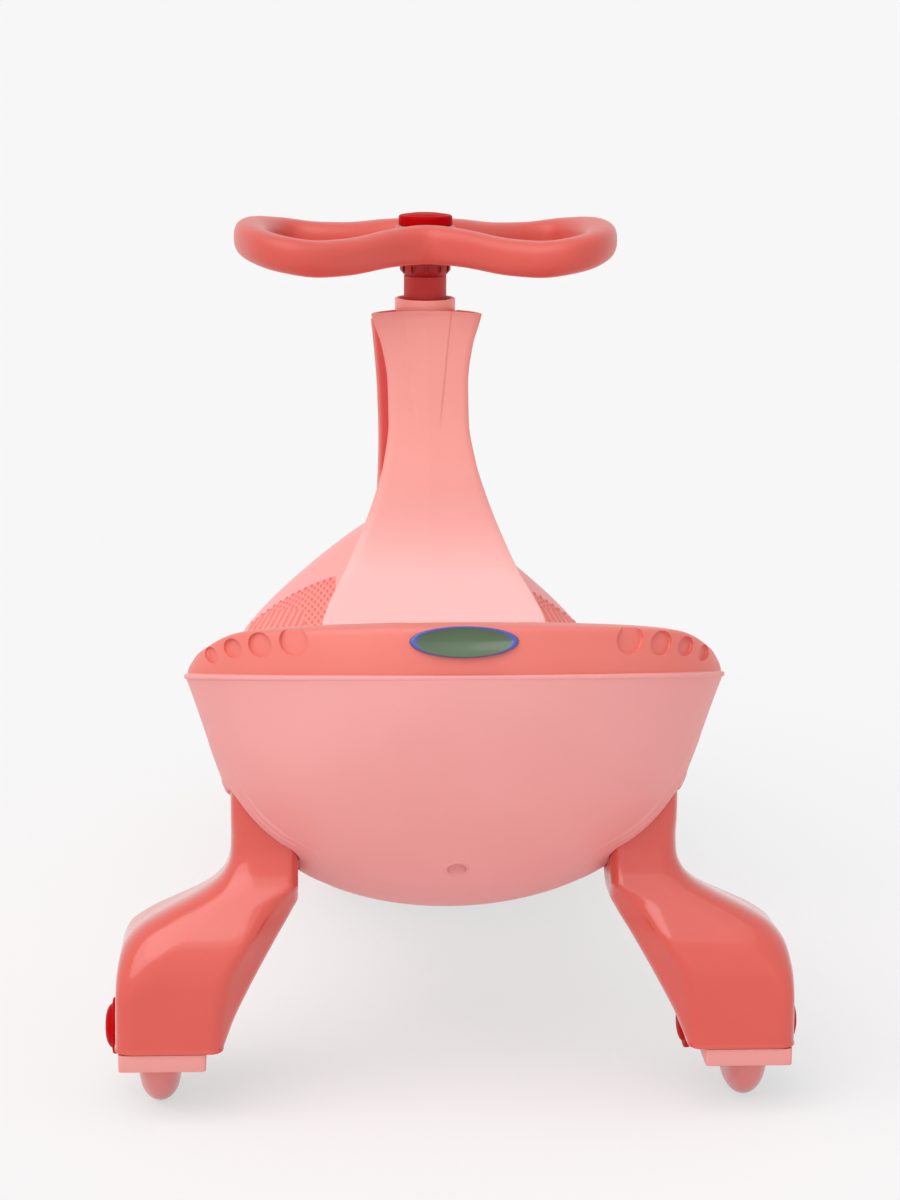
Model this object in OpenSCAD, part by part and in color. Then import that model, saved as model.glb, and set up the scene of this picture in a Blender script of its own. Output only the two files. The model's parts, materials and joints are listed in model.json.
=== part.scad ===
// Wiggle car: a ride-on toy that is driven by turning its butterfly steering wheel.
// Two spread legs carry the rear wheels, a steered fork under the nose carries the front pair.
// Millimetres, +Z up, +Y forwards. The origin is on the ground under the middle of the car.

/* [Body] */
// Length of the hull from the rear rim to the tip of the nose
body_len = 700; // [680:2:730]
// Distance from the rear axles back to the rear rim
rear_overhang = 80; // [74:1:88]
// Width of the hull at the seat rim
seat_w = 264; // [256:1:276]
// Width of the hull at the waist between seat and footrests
waist_w = 176; // [168:1:186]
// Width of the hull at the footrests
front_w = 236; // [226:1:246]
// Distance from the rear axles forward to the waist
waist_at = 190; // [180:1:200]
// Distance from the column forward to the widest part of the front
front_at = 93; // [84:1:102]
// Height of the hull rim at the rear
rim_rear_z = 233; // [228:1:240]
// Height of the hull rim at the rear axles
rim_seat_z = 216; // [212:1:220]
// Height of the hull rim at the waist
rim_waist_z = 172; // [168:1:176]
// Height of the hull rim at the column
rim_column_z = 128; // [125:1:133]
// Height of the hull rim at the nose
rim_nose_z = 119; // [116:1:123]
// Lowest point of the seat tub
tub_z = 72; // [68:1:78]
// Distance from the rear axles forward to the lowest point of the tub
tub_at = 130; // [120:1:140]
// Underside of the hull above the front wheels
belly_z = 84; // [82:0.5:90]
// Share of the width that the sides of the hull lean in by towards the bottom
flare = 0.19; // [0.16:0.01:0.22]
// Wall of the moulded shells
wall = 3; // [2.4:0.1:3.6]
// Gap at seams between mouldings
seam = 0.3; // [0.2:0.05:0.5]
// Gap between the hull rim and the mouldings on it
rim_gap = 0.8; // [0.7:0.05:1]

/* [Seat] */
// Height of the rear lip of the seat above the hull rim
lip_h = 20; // [17:0.5:23]
// Height of the low seat edge along the thighs above the hull rim
side_lip_h = 5; // [4:0.5:7]
// Height of the seat pan
pan_z = 186; // [182:1:192]
// Distance from the rear axles forward to the joint of seat and footrest deck
seat_front_at = 170; // [160:1:176]
// Distance of the seat pan's middle forward of the rear axles
pan_at = 50; // [40:1:60]
// Diameter of the largest round recess in the rear lip
recess_d = 13; // [11:0.5:14]
// Depth of the round recesses
recess_depth = 1.4; // [1:0.1:1.8]

/* [Footrest deck] */
// Height of the footwell floor
floor_z = 105; // [104:0.5:108]
// Height of the prow's crest at the middle
crest_z = 212; // [205:1:220]
// Distance of the prow's crest forward of the column
crest_at = 148; // [140:1:156]
// Length of the slope from the footwell floor up to the crest
slope_len = 90; // [80:1:96]
// Height of the deck edge above the hull rim
deck_lip_h = 5; // [4:0.5:7]
// Thickness of the rubbed footrest pads
pad_t = 2; // [1.6:0.1:2.6]

/* [Neck] */
// Height of the top of the neck
neck_top_z = 353; // [347:1:358]
// Width of the neck at its horned top
neck_top_w = 63; // [58:1:68]
// Width of the neck at its narrowest
neck_waist_w = 46; // [43:1:50]
// Width of the rider-side cape at seat height
cape_w = 126; // [118:1:134]
// Depth of the neck top from back to front
neck_top_depth = 48; // [44:1:52]

/* [Steering] */
// Distance from the rear axles forward to the steering column
column_at = 337; // [330:1:344]
// Diameter of the steering shaft
shaft_d = 16; // [14:0.5:17]
// Diameter of the sleeve round the shaft below the wheel
sleeve_d = 24.6; // [23:0.2:26]
// Outer diameter of the collar on the neck
collar_d = 35; // [34:0.5:38]
// Height of the collar above the neck
collar_h = 8; // [6:0.5:10]
// Wall of the collar
collar_wall = 2; // [1.6:0.1:2.6]
// Height of the steering wheel's underside above the neck
grip_z = 27; // [23:1:33]
// Width of the steering wheel over its two loops
grip_w = 221; // [210:1:232]
// Depth of the steering wheel from front to back
grip_depth = 136; // [128:1:144]
// Depth of the steering wheel at its pinched middle
grip_pinch = 66; // [62:1:72]
// Width of the grip's tube
grip_tube_w = 21; // [19:0.5:23]
// Height of the grip's tube
grip_tube_h = 22; // [20:0.5:24]
// Diameter of the red cap
cap_d = 31; // [29:0.5:33]
// Height of the red cap above the wheel
cap_h = 7; // [6:0.5:8.5]
// Running clearance round the shaft and the axles, on the radius
run_gap = 0.05; // [0.02:0.01:0.1]

/* [Wheels] */
// Radius of the wheels
wheel_r = 37; // [35:0.5:38]
// Width of the tyres
tyre_w = 20; // [18:0.5:21]
// Radius of the wheel's hub core
hub_r = 22; // [20:0.5:24]
// Outer diameter of the ball bearings
bearing_d = 22; // [20:0.5:24]
// Width of the ball bearings
bearing_w = 7; // [6:0.5:8]
// Diameter of the axles
axle_d = 8; // [7:0.5:9]
// Distance between the middles of the rear wheels
rear_track = 291; // [287:1:296]
// Distance between the middles of the front wheels
front_track = 100; // [94:1:106]
// Distance of the front axle ahead of the column
caster = 35; // [30:1:40]
// Free space round a wheel in its bracket
wheel_gap = 2; // [1.5:0.1:2.4]

/* [Legs] */
// Distance from the middle of the car to the middle of a leg's upper tube
leg_tube_x = 93.5; // [91:0.5:96]
// Width of a leg's upper tube
leg_tube_w = 33; // [30:0.5:36]
// Height of the bottom edge of a leg
leg_foot_z = 36; // [34:0.5:38]
// Height of a leg's top inside the hull
leg_top_z = 172; // [168:1:176]
// Distance from the wheel's middle to the outer face of a leg
leg_out = 21; // [20:0.5:23]
// Distance from the wheel's middle to the inner face of a leg at its foot
leg_in = 26.5; // [25:0.5:29]
// Reach of a leg's foot before and behind the axle
leg_reach = 44; // [43:0.5:47]
// Height of the wheel bracket that shows below a leg
bracket_show = 9; // [7:0.5:11]
// Diameter of the red hub caps
hub_cap_d = 28; // [25:0.5:30]
// Height of the red hub caps
hub_cap_h = 7; // [6:0.5:8.5]

/* [Fasteners] */
// Shank diameter of the body screws
screw_d = 4; // [3.5:0.1:4.5]
// Head diameter of the body screws
screw_head_d = 8; // [7:0.2:8.6]
// Diameter of the screw posts inside the hull
post_d = 16; // [14:0.5:18]
// Diameter of the counterbores under the posts
counterbore_d = 9.4; // [9:0.1:10]

/* [Badge] */
// Width of the plain oval badge plate
badge_w = 51; // [46:1:56]
// Height of the plain oval badge plate
badge_h = 15; // [13:0.5:16]

/* [Hidden] */

// Fineness of the exact round pieces
$fn = 64;

// Colours as the eye sees them on the real car
pale_pink = [0.92, 0.62, 0.61];
coral = [0.93, 0.50, 0.46];
deep_coral = [0.87, 0.40, 0.35];
clear_red = [0.78, 0.08, 0.09];
smoke_pink = [0.83, 0.53, 0.52];
steel = [0.72, 0.73, 0.75];
black_nylon = [0.14, 0.14, 0.15];

// Places along the car
rear_y = -body_len / 2;
nose_y = body_len / 2;
axle_y = rear_y + rear_overhang;
waist_y = axle_y + waist_at;
seat_front_y = axle_y + seat_front_at;
tub_y = axle_y + tub_at;
column_y = axle_y + column_at;
front_y = column_y + front_at;
crest_y = column_y + crest_at;
slope_y = crest_y - slope_len;
front_axle_y = column_y + caster;
wheel_x = rear_track / 2;
front_wheel_x = front_track / 2;

// Smooth curve through [place, value] points that never overshoots them
function secant(k, i) = (k[i + 1][1] - k[i][1]) / (k[i + 1][0] - k[i][0]);
function tangent(k, i, flat) =
    i == 0 ? (flat ? 0 : secant(k, 0)) :
    i == len(k) - 1 ? (flat ? 0 : secant(k, i - 1)) :
    let (a = secant(k, i - 1), b = secant(k, i)) a * b <= 0 ? 0 : 2 * a * b / (a + b);
function span(k, u, i = 0) = i == len(k) - 2 || u < k[i + 1][0] ? i : span(k, u, i + 1);
function curve(k, u, flat = false) =
    let (i = span(k, u), h = k[i + 1][0] - k[i][0], t = max(0, min(1, (u - k[i][0]) / h)))
    k[i][1] * (1 - t) * (1 - t) * (1 + 2 * t) + k[i + 1][1] * t * t * (3 - 2 * t)
    + h * (tangent(k, i, flat) * t * (1 - t) * (1 - t) - tangent(k, i + 1, flat) * t * t * (1 - t));
function ease(t) = let (c = max(0, min(1, t))) c * c * (3 - 2 * c);
function mix(a, b, t) = a + (b - a) * t;
function round_end(t) = sqrt(max(0, 1 - t * t));

// Triangles of a grid of points; a wrap joins the last row or column to the first
function grid_faces(rows, cols, wrap_rows, wrap_cols, first = 0, turn = false) = [
    for (i = [0:rows - (wrap_rows ? 1 : 2)], j = [0:cols - (wrap_cols ? 1 : 2)])
    let (i2 = (i + 1) % rows, j2 = (j + 1) % cols,
        a = first + i * cols + j, b = first + i * cols + j2,
        c = first + i2 * cols + j2, d = first + i2 * cols + j)
    each turn ? [[a, c, b], [a, d, c]] : [[a, b, c], [a, c, d]]];

// Strip of triangles between two edges that run side by side
function strip_faces(one, two) = [
    for (i = [0:len(one) - 2])
    each [[one[i], two[i], one[i + 1]], [one[i + 1], two[i], two[i + 1]]]];

// Closed wall between an outer and an inner sheet of points of the same layout
module sheet_wall(outer, inner) {
    rows = len(outer);
    cols = len(outer[0]);
    inner_at = rows * cols;
    first_row = [for (j = [0:cols - 1]) j];
    last_row = [for (j = [cols - 1:-1:0]) (rows - 1) * cols + j];
    first_col = [for (i = [rows - 1:-1:0]) i * cols];
    last_col = [for (i = [0:rows - 1]) i * cols + cols - 1];
    edges = [first_row, last_row, first_col, last_col];
    polyhedron(
        points = [for (sheet = [outer, inner]) for (row = sheet) each row],
        faces = concat(
            grid_faces(rows, cols, false, false),
            grid_faces(rows, cols, false, false, inner_at, true),
            [for (edge = edges) each strip_faces(edge, [for (e = edge) e + inner_at])]));
}

// Solid of stacked closed rings with a flat face at each end
module ring_stack(rings) {
    rows = len(rings);
    cols = len(rings[0]);
    polyhedron(
        points = [for (ring = rings) each ring],
        faces = concat(
            grid_faces(rows, cols, false, true, 0, true),
            [[for (j = [0:cols - 1]) j]],
            [[for (j = [cols - 1:-1:0]) (rows - 1) * cols + j]]));
}

// Solid of closed rings that themselves close in a loop
module ring_loop(rings) {
    polyhedron(
        points = [for (ring = rings) each ring],
        faces = grid_faces(len(rings), len(rings[0]), true, true));
}

// A cylinder along the X axis from one side of the car to the other
module x_rod(r, x0, x1, y, z) {
    translate([min(x0, x1), y, z]) rotate([0, 90, 0]) cylinder(r = r, h = abs(x1 - x0));
}

// Ground that the front wheels sweep as the column turns
wheel_sweep = norm([front_wheel_x + tyre_w / 2, caster + wheel_r]) + wheel_gap;

// Outline of the hull, seen from above and from the side
rim_keys = [[rear_y, rim_rear_z], [axle_y, rim_seat_z], [waist_y, rim_waist_z],
    [column_y, rim_column_z], [front_y, rim_nose_z], [nose_y, rim_nose_z]];
function rim_z(y) = curve(rim_keys, y);
function half_w(y, inset = 0) =
    y < axle_y ? (seat_w / 2 - inset) * round_end((axle_y - y) / (rear_overhang - inset)) :
    y > front_y ? (front_w / 2 - inset) * round_end((y - front_y) / (nose_y - front_y - inset)) :
    curve([[axle_y, seat_w / 2], [waist_y, waist_w / 2], [front_y, front_w / 2]], y, true) - inset;
belly_keys = [[tub_y, tub_z], [column_y - wheel_sweep, belly_z], [nose_y, belly_z]];
function keel_z(y, inset = 0) =
    let (deep = rim_z(y) - inset - (y < tub_y ? tub_z : curve(belly_keys, y, true)),
        back = round_end((tub_y - y) / (tub_y - rear_y - inset)),
        fore = round_end((y - front_y) / (nose_y - front_y - inset)))
    rim_z(y) - deep * (y < tub_y ? back : y > front_y ? fore : 1);

// Half of the hull's section from the rim to the keel: share of the width, share of the depth
hull_steps = 13;
section_ease = 0.7;
section_round = 4;
hull_section = [for (j = [0:hull_steps])
    let (d = pow(sin(90 * j / hull_steps), section_ease))
    [(1 - flare * d) * sqrt(max(0, 1 - pow(d, section_round))), d]];
hull_rows = 36;
end_share = 0.05;
function hull_sheet(inset) = [for (i = [0:hull_rows])
    let (t = (1 - cos(180 * (i + end_share) / (hull_rows + 2 * end_share))) / 2,
        y = mix(rear_y + inset, nose_y - inset, t), w = half_w(y, inset), z = rim_z(y), k = keel_z(y, inset))
    [for (j = [-hull_steps:hull_steps]) let (s = hull_section[hull_steps - abs(j)])
        [(j < 0 ? w : -w) * s[0], y, mix(z, k, s[1])]]];

// Places of the screw posts: two under the pan, one behind it, two in the footwells, one in the nose
pan_post_x = 42;
pan_post_at = 75;
back_post_at = 30;
floor_post_x = 52;
floor_post_at = 105;
nose_post_at = 90;
pan_post_y = axle_y + pan_post_at;
back_post_y = axle_y - back_post_at;
floor_post_y = column_y - floor_post_at;
nose_post_y = nose_y - nose_post_at;
post_places = [[-pan_post_x, pan_post_y], [pan_post_x, pan_post_y], [0, back_post_y],
    [-floor_post_x, floor_post_y], [floor_post_x, floor_post_y], [0, nose_post_y]];
post_split = 12;
screw_seat = 10;
screw_bite = 9;
pocket_gap = 0.4;

// Height of the hull's outer face under a point
function hull_z(x, y) =
    let (w = half_w(y), k = keel_z(y), z = rim_z(y),
        keys = [for (j = [hull_steps:-1:0]) [hull_section[j][0], hull_section[j][1]]])
    mix(z, k, curve(keys, min(1, abs(x) / w)));
function ring_round(p, r) = [for (a = [0:45:315]) p + r * [cos(a), sin(a)]];
function under_z(p) = min([for (q = ring_round(p, post_d / 2))
    (q[1] < seat_front_y ? seat_z(q[0], q[1]) : deck_z(q[0], q[1])) - wall]);
function post_top(p) = under_z(p) - post_split;
function post_foot(p) = max([for (q = ring_round(p, post_d / 2)) hull_z(q[0], q[1])]) + wall / 3;
function screw_shelf(p) = max([for (q = ring_round(p, counterbore_d / 2)) hull_z(q[0], q[1])]) + screw_seat;

module lower_hull() {
    color(pale_pink)
    difference() {
        union() {
            sheet_wall(hull_sheet(wall), hull_sheet(0));
            for (p = post_places)
                translate([p[0], p[1], post_foot(p)])
                cylinder(d = post_d, h = post_top(p) - seam - post_foot(p));
        }
        for (p = post_places) {
            translate([p[0], p[1], 0]) cylinder(d = counterbore_d, h = screw_shelf(p));
            translate([p[0], p[1], 0]) cylinder(r = screw_d / 2 + seam, h = post_top(p) + wall);
        }
        for (side = [-1, 1])
            translate([0, 0, leg_pocket_z]) linear_extrude(leg_top_z + wall - leg_pocket_z)
            polygon([for (p = leg_ring(leg_top_z, side, pocket_gap)) [p[0], p[1]]]);
        translate([0, column_y, 0]) cylinder(r = bush_r + seam, h = rim_column_z);
    }
}

// Rim of the seat as a ring of points, from the front joint round the back and across the front
seat_side_steps = 20;
seat_front_steps = 8;
function seat_side(side, i) =
    let (y = mix(rear_y, seat_front_y - seam / 2, 1 - cos(90 * i / seat_side_steps))) [side * half_w(y), y];
seat_rim = concat(
    [for (i = [seat_side_steps:-1:1]) seat_side(-1, i)],
    [for (i = [0:seat_side_steps]) seat_side(1, i)],
    [for (i = [1:seat_front_steps - 1])
        let (p = seat_side(1, seat_side_steps)) [p[0] * (1 - 2 * i / seat_front_steps), p[1]]]);
pan_middle = [0, axle_y + pan_at];
lip_hold_at = 45;
lip_fall_at = 20;
lip_low_at = 12;
lip_keys = [[rear_y, lip_h], [axle_y - lip_hold_at, lip_h * 0.9],
    [axle_y - lip_fall_at, mix(side_lip_h, lip_h, 0.45)],
    [axle_y + lip_low_at, side_lip_h], [seat_front_y, side_lip_h]];
function seat_lip(y) = curve(lip_keys, y);

// Rows of the seat from its outer edge over the lip to the pan: inset, share of the lip
edge_in = 1.5;
face_in = 3.5;
face_rise = 0.55;
lip_in = 7;
lip_rise = 0.93;
crest_in = 13;
pan_in = crest_in + 7;
pan_rise = 0.95;
seat_rows = [[edge_in, 0], [face_in, face_rise], [lip_in, lip_rise], [crest_in, 1], [pan_in, pan_rise]];
pan_rows = 6;
pan_flat = 1.06;
function seat_at(p, inset, z) =
    let (way = pan_middle - p, q = p + way / norm(way) * inset) [q[0], q[1], z];
function seat_ring(row, under) = [for (p = seat_rim)
    let (z = rim_z(p[1]) + rim_gap + row[1] * seat_lip(p[1]), side = row[1] < lip_rise)
    seat_at(p, row[0] + (under && row[1] < 1 ? wall : 0), z - (under && !side ? wall : 0))];
function pan_ring(t, under) = [for (p = seat_rim)
    let (start = pan_in + (under ? wall / 2 : 0), way = norm(pan_middle - p) - start,
        top = rim_z(p[1]) + rim_gap + pan_rise * seat_lip(p[1]))
    seat_at(p, start + way * t, mix(top, pan_z, ease(t * pan_flat)) - (under ? wall : 0))];
pan_end = 0.97;
function seat_sheet(under) = concat(
    [for (row = seat_rows) seat_ring(row, under)],
    [for (i = [1:pan_rows]) pan_ring(pan_end * i / pan_rows, under)]);

// Height of the seat's upper face near its middle
function rim_reach(x, y) =
    let (way = [x, y] - pan_middle, far = [for (p = seat_rim)
        let (d = p - pan_middle, c = (d * way) / (norm(d) * max(0.01, norm(way)))) [c, norm(d), p[1]]],
        best = max([for (f = far) f[0]]))
    [for (f = far) if (f[0] == best) f][0];
function seat_z(x, y) =
    let (f = rim_reach(x, y), t = 1 - norm([x, y] - pan_middle) / (f[1] - pan_in),
        top = rim_z(f[2]) + rim_gap + pan_rise * seat_lip(f[2]))
    mix(top, pan_z, ease(t * pan_flat));

// Inset of the lip's leaning outer face at a share of its height
function face_inset(rise) = mix(face_in, lip_in, (rise - face_rise) / (lip_rise - face_rise));

// Round recesses along each side of the rear lip: distance from the middle and share of the largest
recess_places = [[82, 1], [98, 0.85], [109.5, 0.66], [118, 0.54]];
recess_rise = 0.62;
recess_cut = 12;

module seat_deck() {
    top = seat_sheet(false);
    under = seat_sheet(true);
    rows = len(top);
    cols = len(seat_rim);
    inner_at = rows * cols;
    edge = [for (j = [0:cols]) j % cols];
    color(coral)
    difference() {
        union() {
            polyhedron(
                points = [for (sheet = [top, under]) for (ring = sheet) each ring],
                faces = concat(
                    grid_faces(rows, cols, false, true, 0, true),
                    grid_faces(rows, cols, false, true, inner_at),
                    strip_faces([for (e = edge) e + inner_at], edge),
                    [[for (j = [cols - 1:-1:0]) (rows - 1) * cols + j]],
                    [[for (j = [0:cols - 1]) inner_at + (rows - 1) * cols + j]]));
            for (p = post_places)
                if (p[1] < seat_front_y)
                    translate([p[0], p[1], post_top(p)])
                    cylinder(d = post_d - 2, h = post_split + wall / 2);
        }
        for (p = post_places)
            if (p[1] < seat_front_y)
                translate([p[0], p[1], post_top(p) - wall])
                cylinder(r = screw_d / 2 + run_gap, h = screw_bite + wall + 1);
        for (side = [-1, 1], r = recess_places)
            recess(side * r[0], r[1] * recess_d);
    }
}

// Cutter of one round recess in the outer face of the rear lip
module recess(x, d) {
    y = axle_y - rear_overhang * round_end(x / (seat_w / 2));
    way = pan_middle - [x, y];
    face = seat_at([x, y], face_inset(recess_rise), rim_z(y) + rim_gap + recess_rise * seat_lip(y));
    translate(face) rotate([0, 0, atan2(way[1], way[0])]) rotate([0, 90, 0])
    translate([0, 0, recess_depth - recess_cut]) cylinder(d = d, h = recess_cut);
}

// Upper face of the footrest deck: sloping floor, raised edge and the prow with its crest
lip_blend = 18;
lip_flat = 6;
prow_power = 1.5;
deck_start_rise = 6;
deck_step_at = 30;
deck_step_drop = 4;
slide_at = 97;
slide_rise = 31;
floor_start_at = 47;
floor_start_rise = 6;
floor_keys = [[seat_front_y, rim_waist_z + deck_lip_h + deck_start_rise],
    [seat_front_y + deck_step_at, rim_waist_z - deck_step_drop],
    [column_y - slide_at, floor_z + slide_rise],
    [column_y - floor_start_at, floor_z + floor_start_rise], [column_y, floor_z], [nose_y, floor_z]];
function prow_z(x, y) =
    let (low = rim_z(y) + deck_lip_h, u = min(1, abs(x) / max(1, half_w(y))),
        fore = y > crest_y ? round_end((y - crest_y) / (nose_y - crest_y)) : 1)
    low + (crest_z - low) * (1 - pow(u, prow_power)) * fore;
function well_z(x, y) =
    let (low = rim_z(y) + deck_lip_h)
    mix(low, curve(floor_keys, y), ease((half_w(y) - lip_flat - abs(x)) / lip_blend));
function deck_z(x, y) = mix(well_z(x, y), prow_z(x, y), ease((y - slope_y) / (crest_y - slope_y)));

// The deck as rows across the car: its folded edge on both sides and columns between them
deck_rows = 44;
deck_cols = 10;
deck_span = 0.93;
deck_tip = 0.01;
deck_edge = [[0.985, 0], [0.972, 0.7], [0.95, 1]];
function deck_y(i, inset) =
    mix(seat_front_y + seam / 2, nose_y - inset - deck_tip, sin(90 * i / deck_rows));
function deck_x(j, y, inset) = -deck_span * half_w(y, inset) * sin(90 * j / deck_cols);
function deck_sheet(inset) = [for (i = [0:deck_rows])
    let (y = deck_y(i, inset), w = half_w(y, inset), low = rim_z(y) + rim_gap, rise = deck_lip_h - inset)
    concat(
        [for (e = deck_edge) [w * e[0], y, low + rise * e[1]]],
        [for (j = [-deck_cols:deck_cols]) let (x = deck_x(j, y, inset)) [x, y, deck_z(x, y) - inset]],
        [for (n = [1:len(deck_edge)]) let (e = deck_edge[len(deck_edge) - n])
            [-w * e[0], y, low + rise * e[1]]])];

module front_deck() {
    color(pale_pink)
    difference() {
        union() {
            sheet_wall(deck_sheet(0), deck_sheet(wall));
            for (p = post_places)
                if (p[1] > seat_front_y)
                    translate([p[0], p[1], post_top(p)])
                    cylinder(d = post_d - 2, h = post_split + wall / 2);
        }
        for (p = post_places)
            if (p[1] > seat_front_y)
                translate([p[0], p[1], post_top(p) - wall])
                cylinder(r = screw_d / 2 + run_gap, h = screw_bite + wall + 1);
        translate([0, column_y, 0]) cylinder(r = bush_r + wall, h = neck_top_z);
    }
}

// Heights on the neck: the cape's tuck and fold, its flank, the narrow waist, the throat and the flare
tuck_z = 185;
fold_z = 196;
flank_z = 220;
narrow_z = 269;
throat_z = 297;
flare_z = 335;
// How far ahead of the rear axles the neck's back lies at these heights
foot_back_at = 172;
tuck_back_at = 184;
fold_back_at = 200;
flank_back_at = 237;
narrow_back_at = 260;
throat_back_at = 281;
// How far its front lies ahead of the crest, behind the crest or ahead of the column
foot_fore = 60;
fold_aft = 25;
flank_aft = 65;
narrow_fore = 43;
throat_fore = 35;
top_fore = 1;
// Half widths of its front and of the channel in its sides
foot_front_w = 34;
flank_front_w = 27;
narrow_front_w = 25;
throat_front_w = 26.5;
foot_side_w = 36;
flank_side_w = 25;
throat_side_w = 17;
horn_side_w = 22;
horn_drop = 15;
top_side_w = 27;

// Neck at a height: places of its back and front, and half widths of back, side channel and front
neck_back = [[floor_z, axle_y + foot_back_at], [tuck_z, axle_y + tuck_back_at],
    [fold_z, axle_y + fold_back_at], [flank_z, axle_y + flank_back_at],
    [narrow_z, axle_y + narrow_back_at], [throat_z, axle_y + throat_back_at],
    [neck_top_z, column_y - neck_top_depth / 2 + top_fore]];
neck_front = [[floor_z, crest_y + foot_fore], [fold_z, crest_y - fold_aft], [flank_z, crest_y - flank_aft],
    [narrow_z, column_y + narrow_fore], [throat_z, column_y + throat_fore],
    [neck_top_z, column_y + neck_top_depth / 2 + top_fore]];
neck_back_w = [[floor_z, cape_w * 0.58], [fold_z, cape_w * 0.49], [flank_z, cape_w * 0.36],
    [narrow_z, neck_waist_w * 0.58], [throat_z, neck_waist_w * 0.5], [flare_z, neck_top_w * 0.415],
    [neck_top_z, neck_top_w / 2]];
neck_front_w = [[floor_z, foot_front_w], [flank_z, flank_front_w], [narrow_z, narrow_front_w],
    [throat_z, throat_front_w], [neck_top_z, neck_top_w / 2]];
neck_side_w = [[floor_z, foot_side_w], [flank_z, flank_side_w], [throat_z, throat_side_w],
    [neck_top_z - horn_drop, horn_side_w], [neck_top_z, top_side_w]];

// Half of the neck's outline from the middle of its back to the middle of its front
neck_steps = 22;
neck_crown = 1.5;
neck_turn = 6;
function neck_point(s, z, inset) =
    let (back = curve(neck_back, z) + inset, front = curve(neck_front, z) - inset,
        bw = curve(neck_back_w, z) - inset, fw = curve(neck_front_w, z) - inset,
        sw = curve(neck_side_w, z) - inset)
    [curve([[0, 0], [0.2, bw * 0.8], [0.28, bw], [0.5, sw], [0.72, fw], [0.8, fw * 0.8], [1, 0]], s),
     curve([[0, back], [0.2, back + neck_crown], [0.28, back + neck_turn], [0.5, (back + front) / 2],
        [0.72, front - neck_turn], [0.8, front - neck_crown], [1, front]], s)];
function neck_foot(s, inset, low, high, n = 14) =
    let (z = (low + high) / 2, p = neck_point(s, z, inset))
    n == 0 ? z : z < deck_z(p[0], p[1]) + foot_gap ? neck_foot(s, inset, z, high, n - 1)
        : neck_foot(s, inset, low, z, n - 1);
function around(n) = n <= neck_steps ? [-1, n / neck_steps] : [1, 2 - n / neck_steps];
neck_cols = 2 * neck_steps;
function neck_ring(t, inset) = [for (n = [0:neck_cols - 1])
    let (a = around(n), foot = neck_foot(a[1], inset, floor_z, neck_foot_top),
        z = mix(foot, neck_top_z - inset, t), p = neck_point(a[1], z, inset))
    [a[0] * p[0], p[1], z]];
function neck_hole(z) = [for (n = [0:neck_cols - 1])
    let (p = neck_point(around(n)[1], neck_top_z, 0), a = atan2(p[1] - column_y, around(n)[0] * p[0]))
    [(bush_r + seam) * cos(a), column_y + (bush_r + seam) * sin(a), z]];
neck_rows = 15;
neck_foot_top = 240;
foot_gap = 1.2;
neck_inner_rows = 9;

module neck() {
    color(pale_pink)
    ring_loop(concat(
        [for (i = [0:neck_rows]) neck_ring(i / neck_rows, 0)],
        [neck_hole(neck_top_z), neck_hole(neck_top_z - wall)],
        [for (i = [neck_inner_rows:-1:0]) neck_ring(i / neck_inner_rows, wall)]));
}

// Footrest pads on the floor of the wells and up the slope, on the deck's own rows and columns
pad_start = 6;
pad_stop = 18;
pad_col_in = 3;
pad_col_out = 8;
pad_rows = [for (i = [0:deck_rows])
    if (deck_y(i, 0) > column_y - pad_start && deck_y(i, 0) < crest_y - pad_stop) i];
function pad_cols(side) = side > 0 ? [-pad_col_out:-pad_col_in] : [pad_col_in:pad_col_out];
function pad_sheet(side, lift) = [for (i = pad_rows) let (y = deck_y(i, 0))
    [for (j = pad_cols(side)) let (x = deck_x(j, y, 0)) [x, y, deck_z(x, y) + lift]]];

module foot_pad(side) {
    color(coral)
    sheet_wall(pad_sheet(side, seam + pad_t), pad_sheet(side, seam));
}

// Outline of a leg at a height: a box with rounded corners that slides inwards up the leg
leg_points = 32;
leg_shoulder_low = 87;
leg_shoulder_top = 124;
leg_tube_back = 14;
leg_tube_fore = 35;
leg_back_low = 80;
leg_taper = 2;
leg_taper_len = 50;
leg_slant_len = 64;
leg_pocket_z = 100;
leg_fore_len = 30;
leg_outer_corner = 0.34;
leg_inner_corner = 0.5;
tube_out = leg_tube_x + leg_tube_w / 2;
tube_in = leg_tube_x - leg_tube_w / 2;
foot_out = wheel_x + leg_out;
foot_in = wheel_x - leg_in;
function corner(c, power) = sign(c) * pow(abs(c), power);
function leg_ring(z, side, grow = 0) =
    let (up = ease((leg_shoulder_top - z) / (leg_shoulder_top - leg_shoulder_low)),
        back = ease((leg_shoulder_top - z) / (leg_shoulder_top - leg_back_low)),
        fore = ease((leg_pocket_z - z) / leg_fore_len),
        x_out = mix(tube_out, foot_out - leg_taper * ease((z - leg_foot_z) / leg_taper_len), up) + grow,
        slant = max(0, min(1, (z - leg_foot_z) / leg_slant_len)),
        x_in = mix(foot_in, tube_in, slant) - grow,
        y_back = axle_y - mix(leg_tube_back, leg_reach, back) - grow,
        y_fore = axle_y + mix(leg_tube_fore, leg_reach, fore) + grow)
    [for (n = [0:leg_points - 1])
        let (a = side * 360 * n / leg_points, power = cos(a) > 0 ? leg_outer_corner : leg_inner_corner)
        [side * mix(x_in, x_out, (1 + corner(cos(a), power)) / 2),
         mix(y_back, y_fore, (1 + corner(sin(a), power)) / 2), z]];
leg_levels = [leg_foot_z, 50, 70, 80, 87, 93, 98, 102, 106, 110, 114, 119, leg_shoulder_top, 150, leg_top_z];

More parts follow.
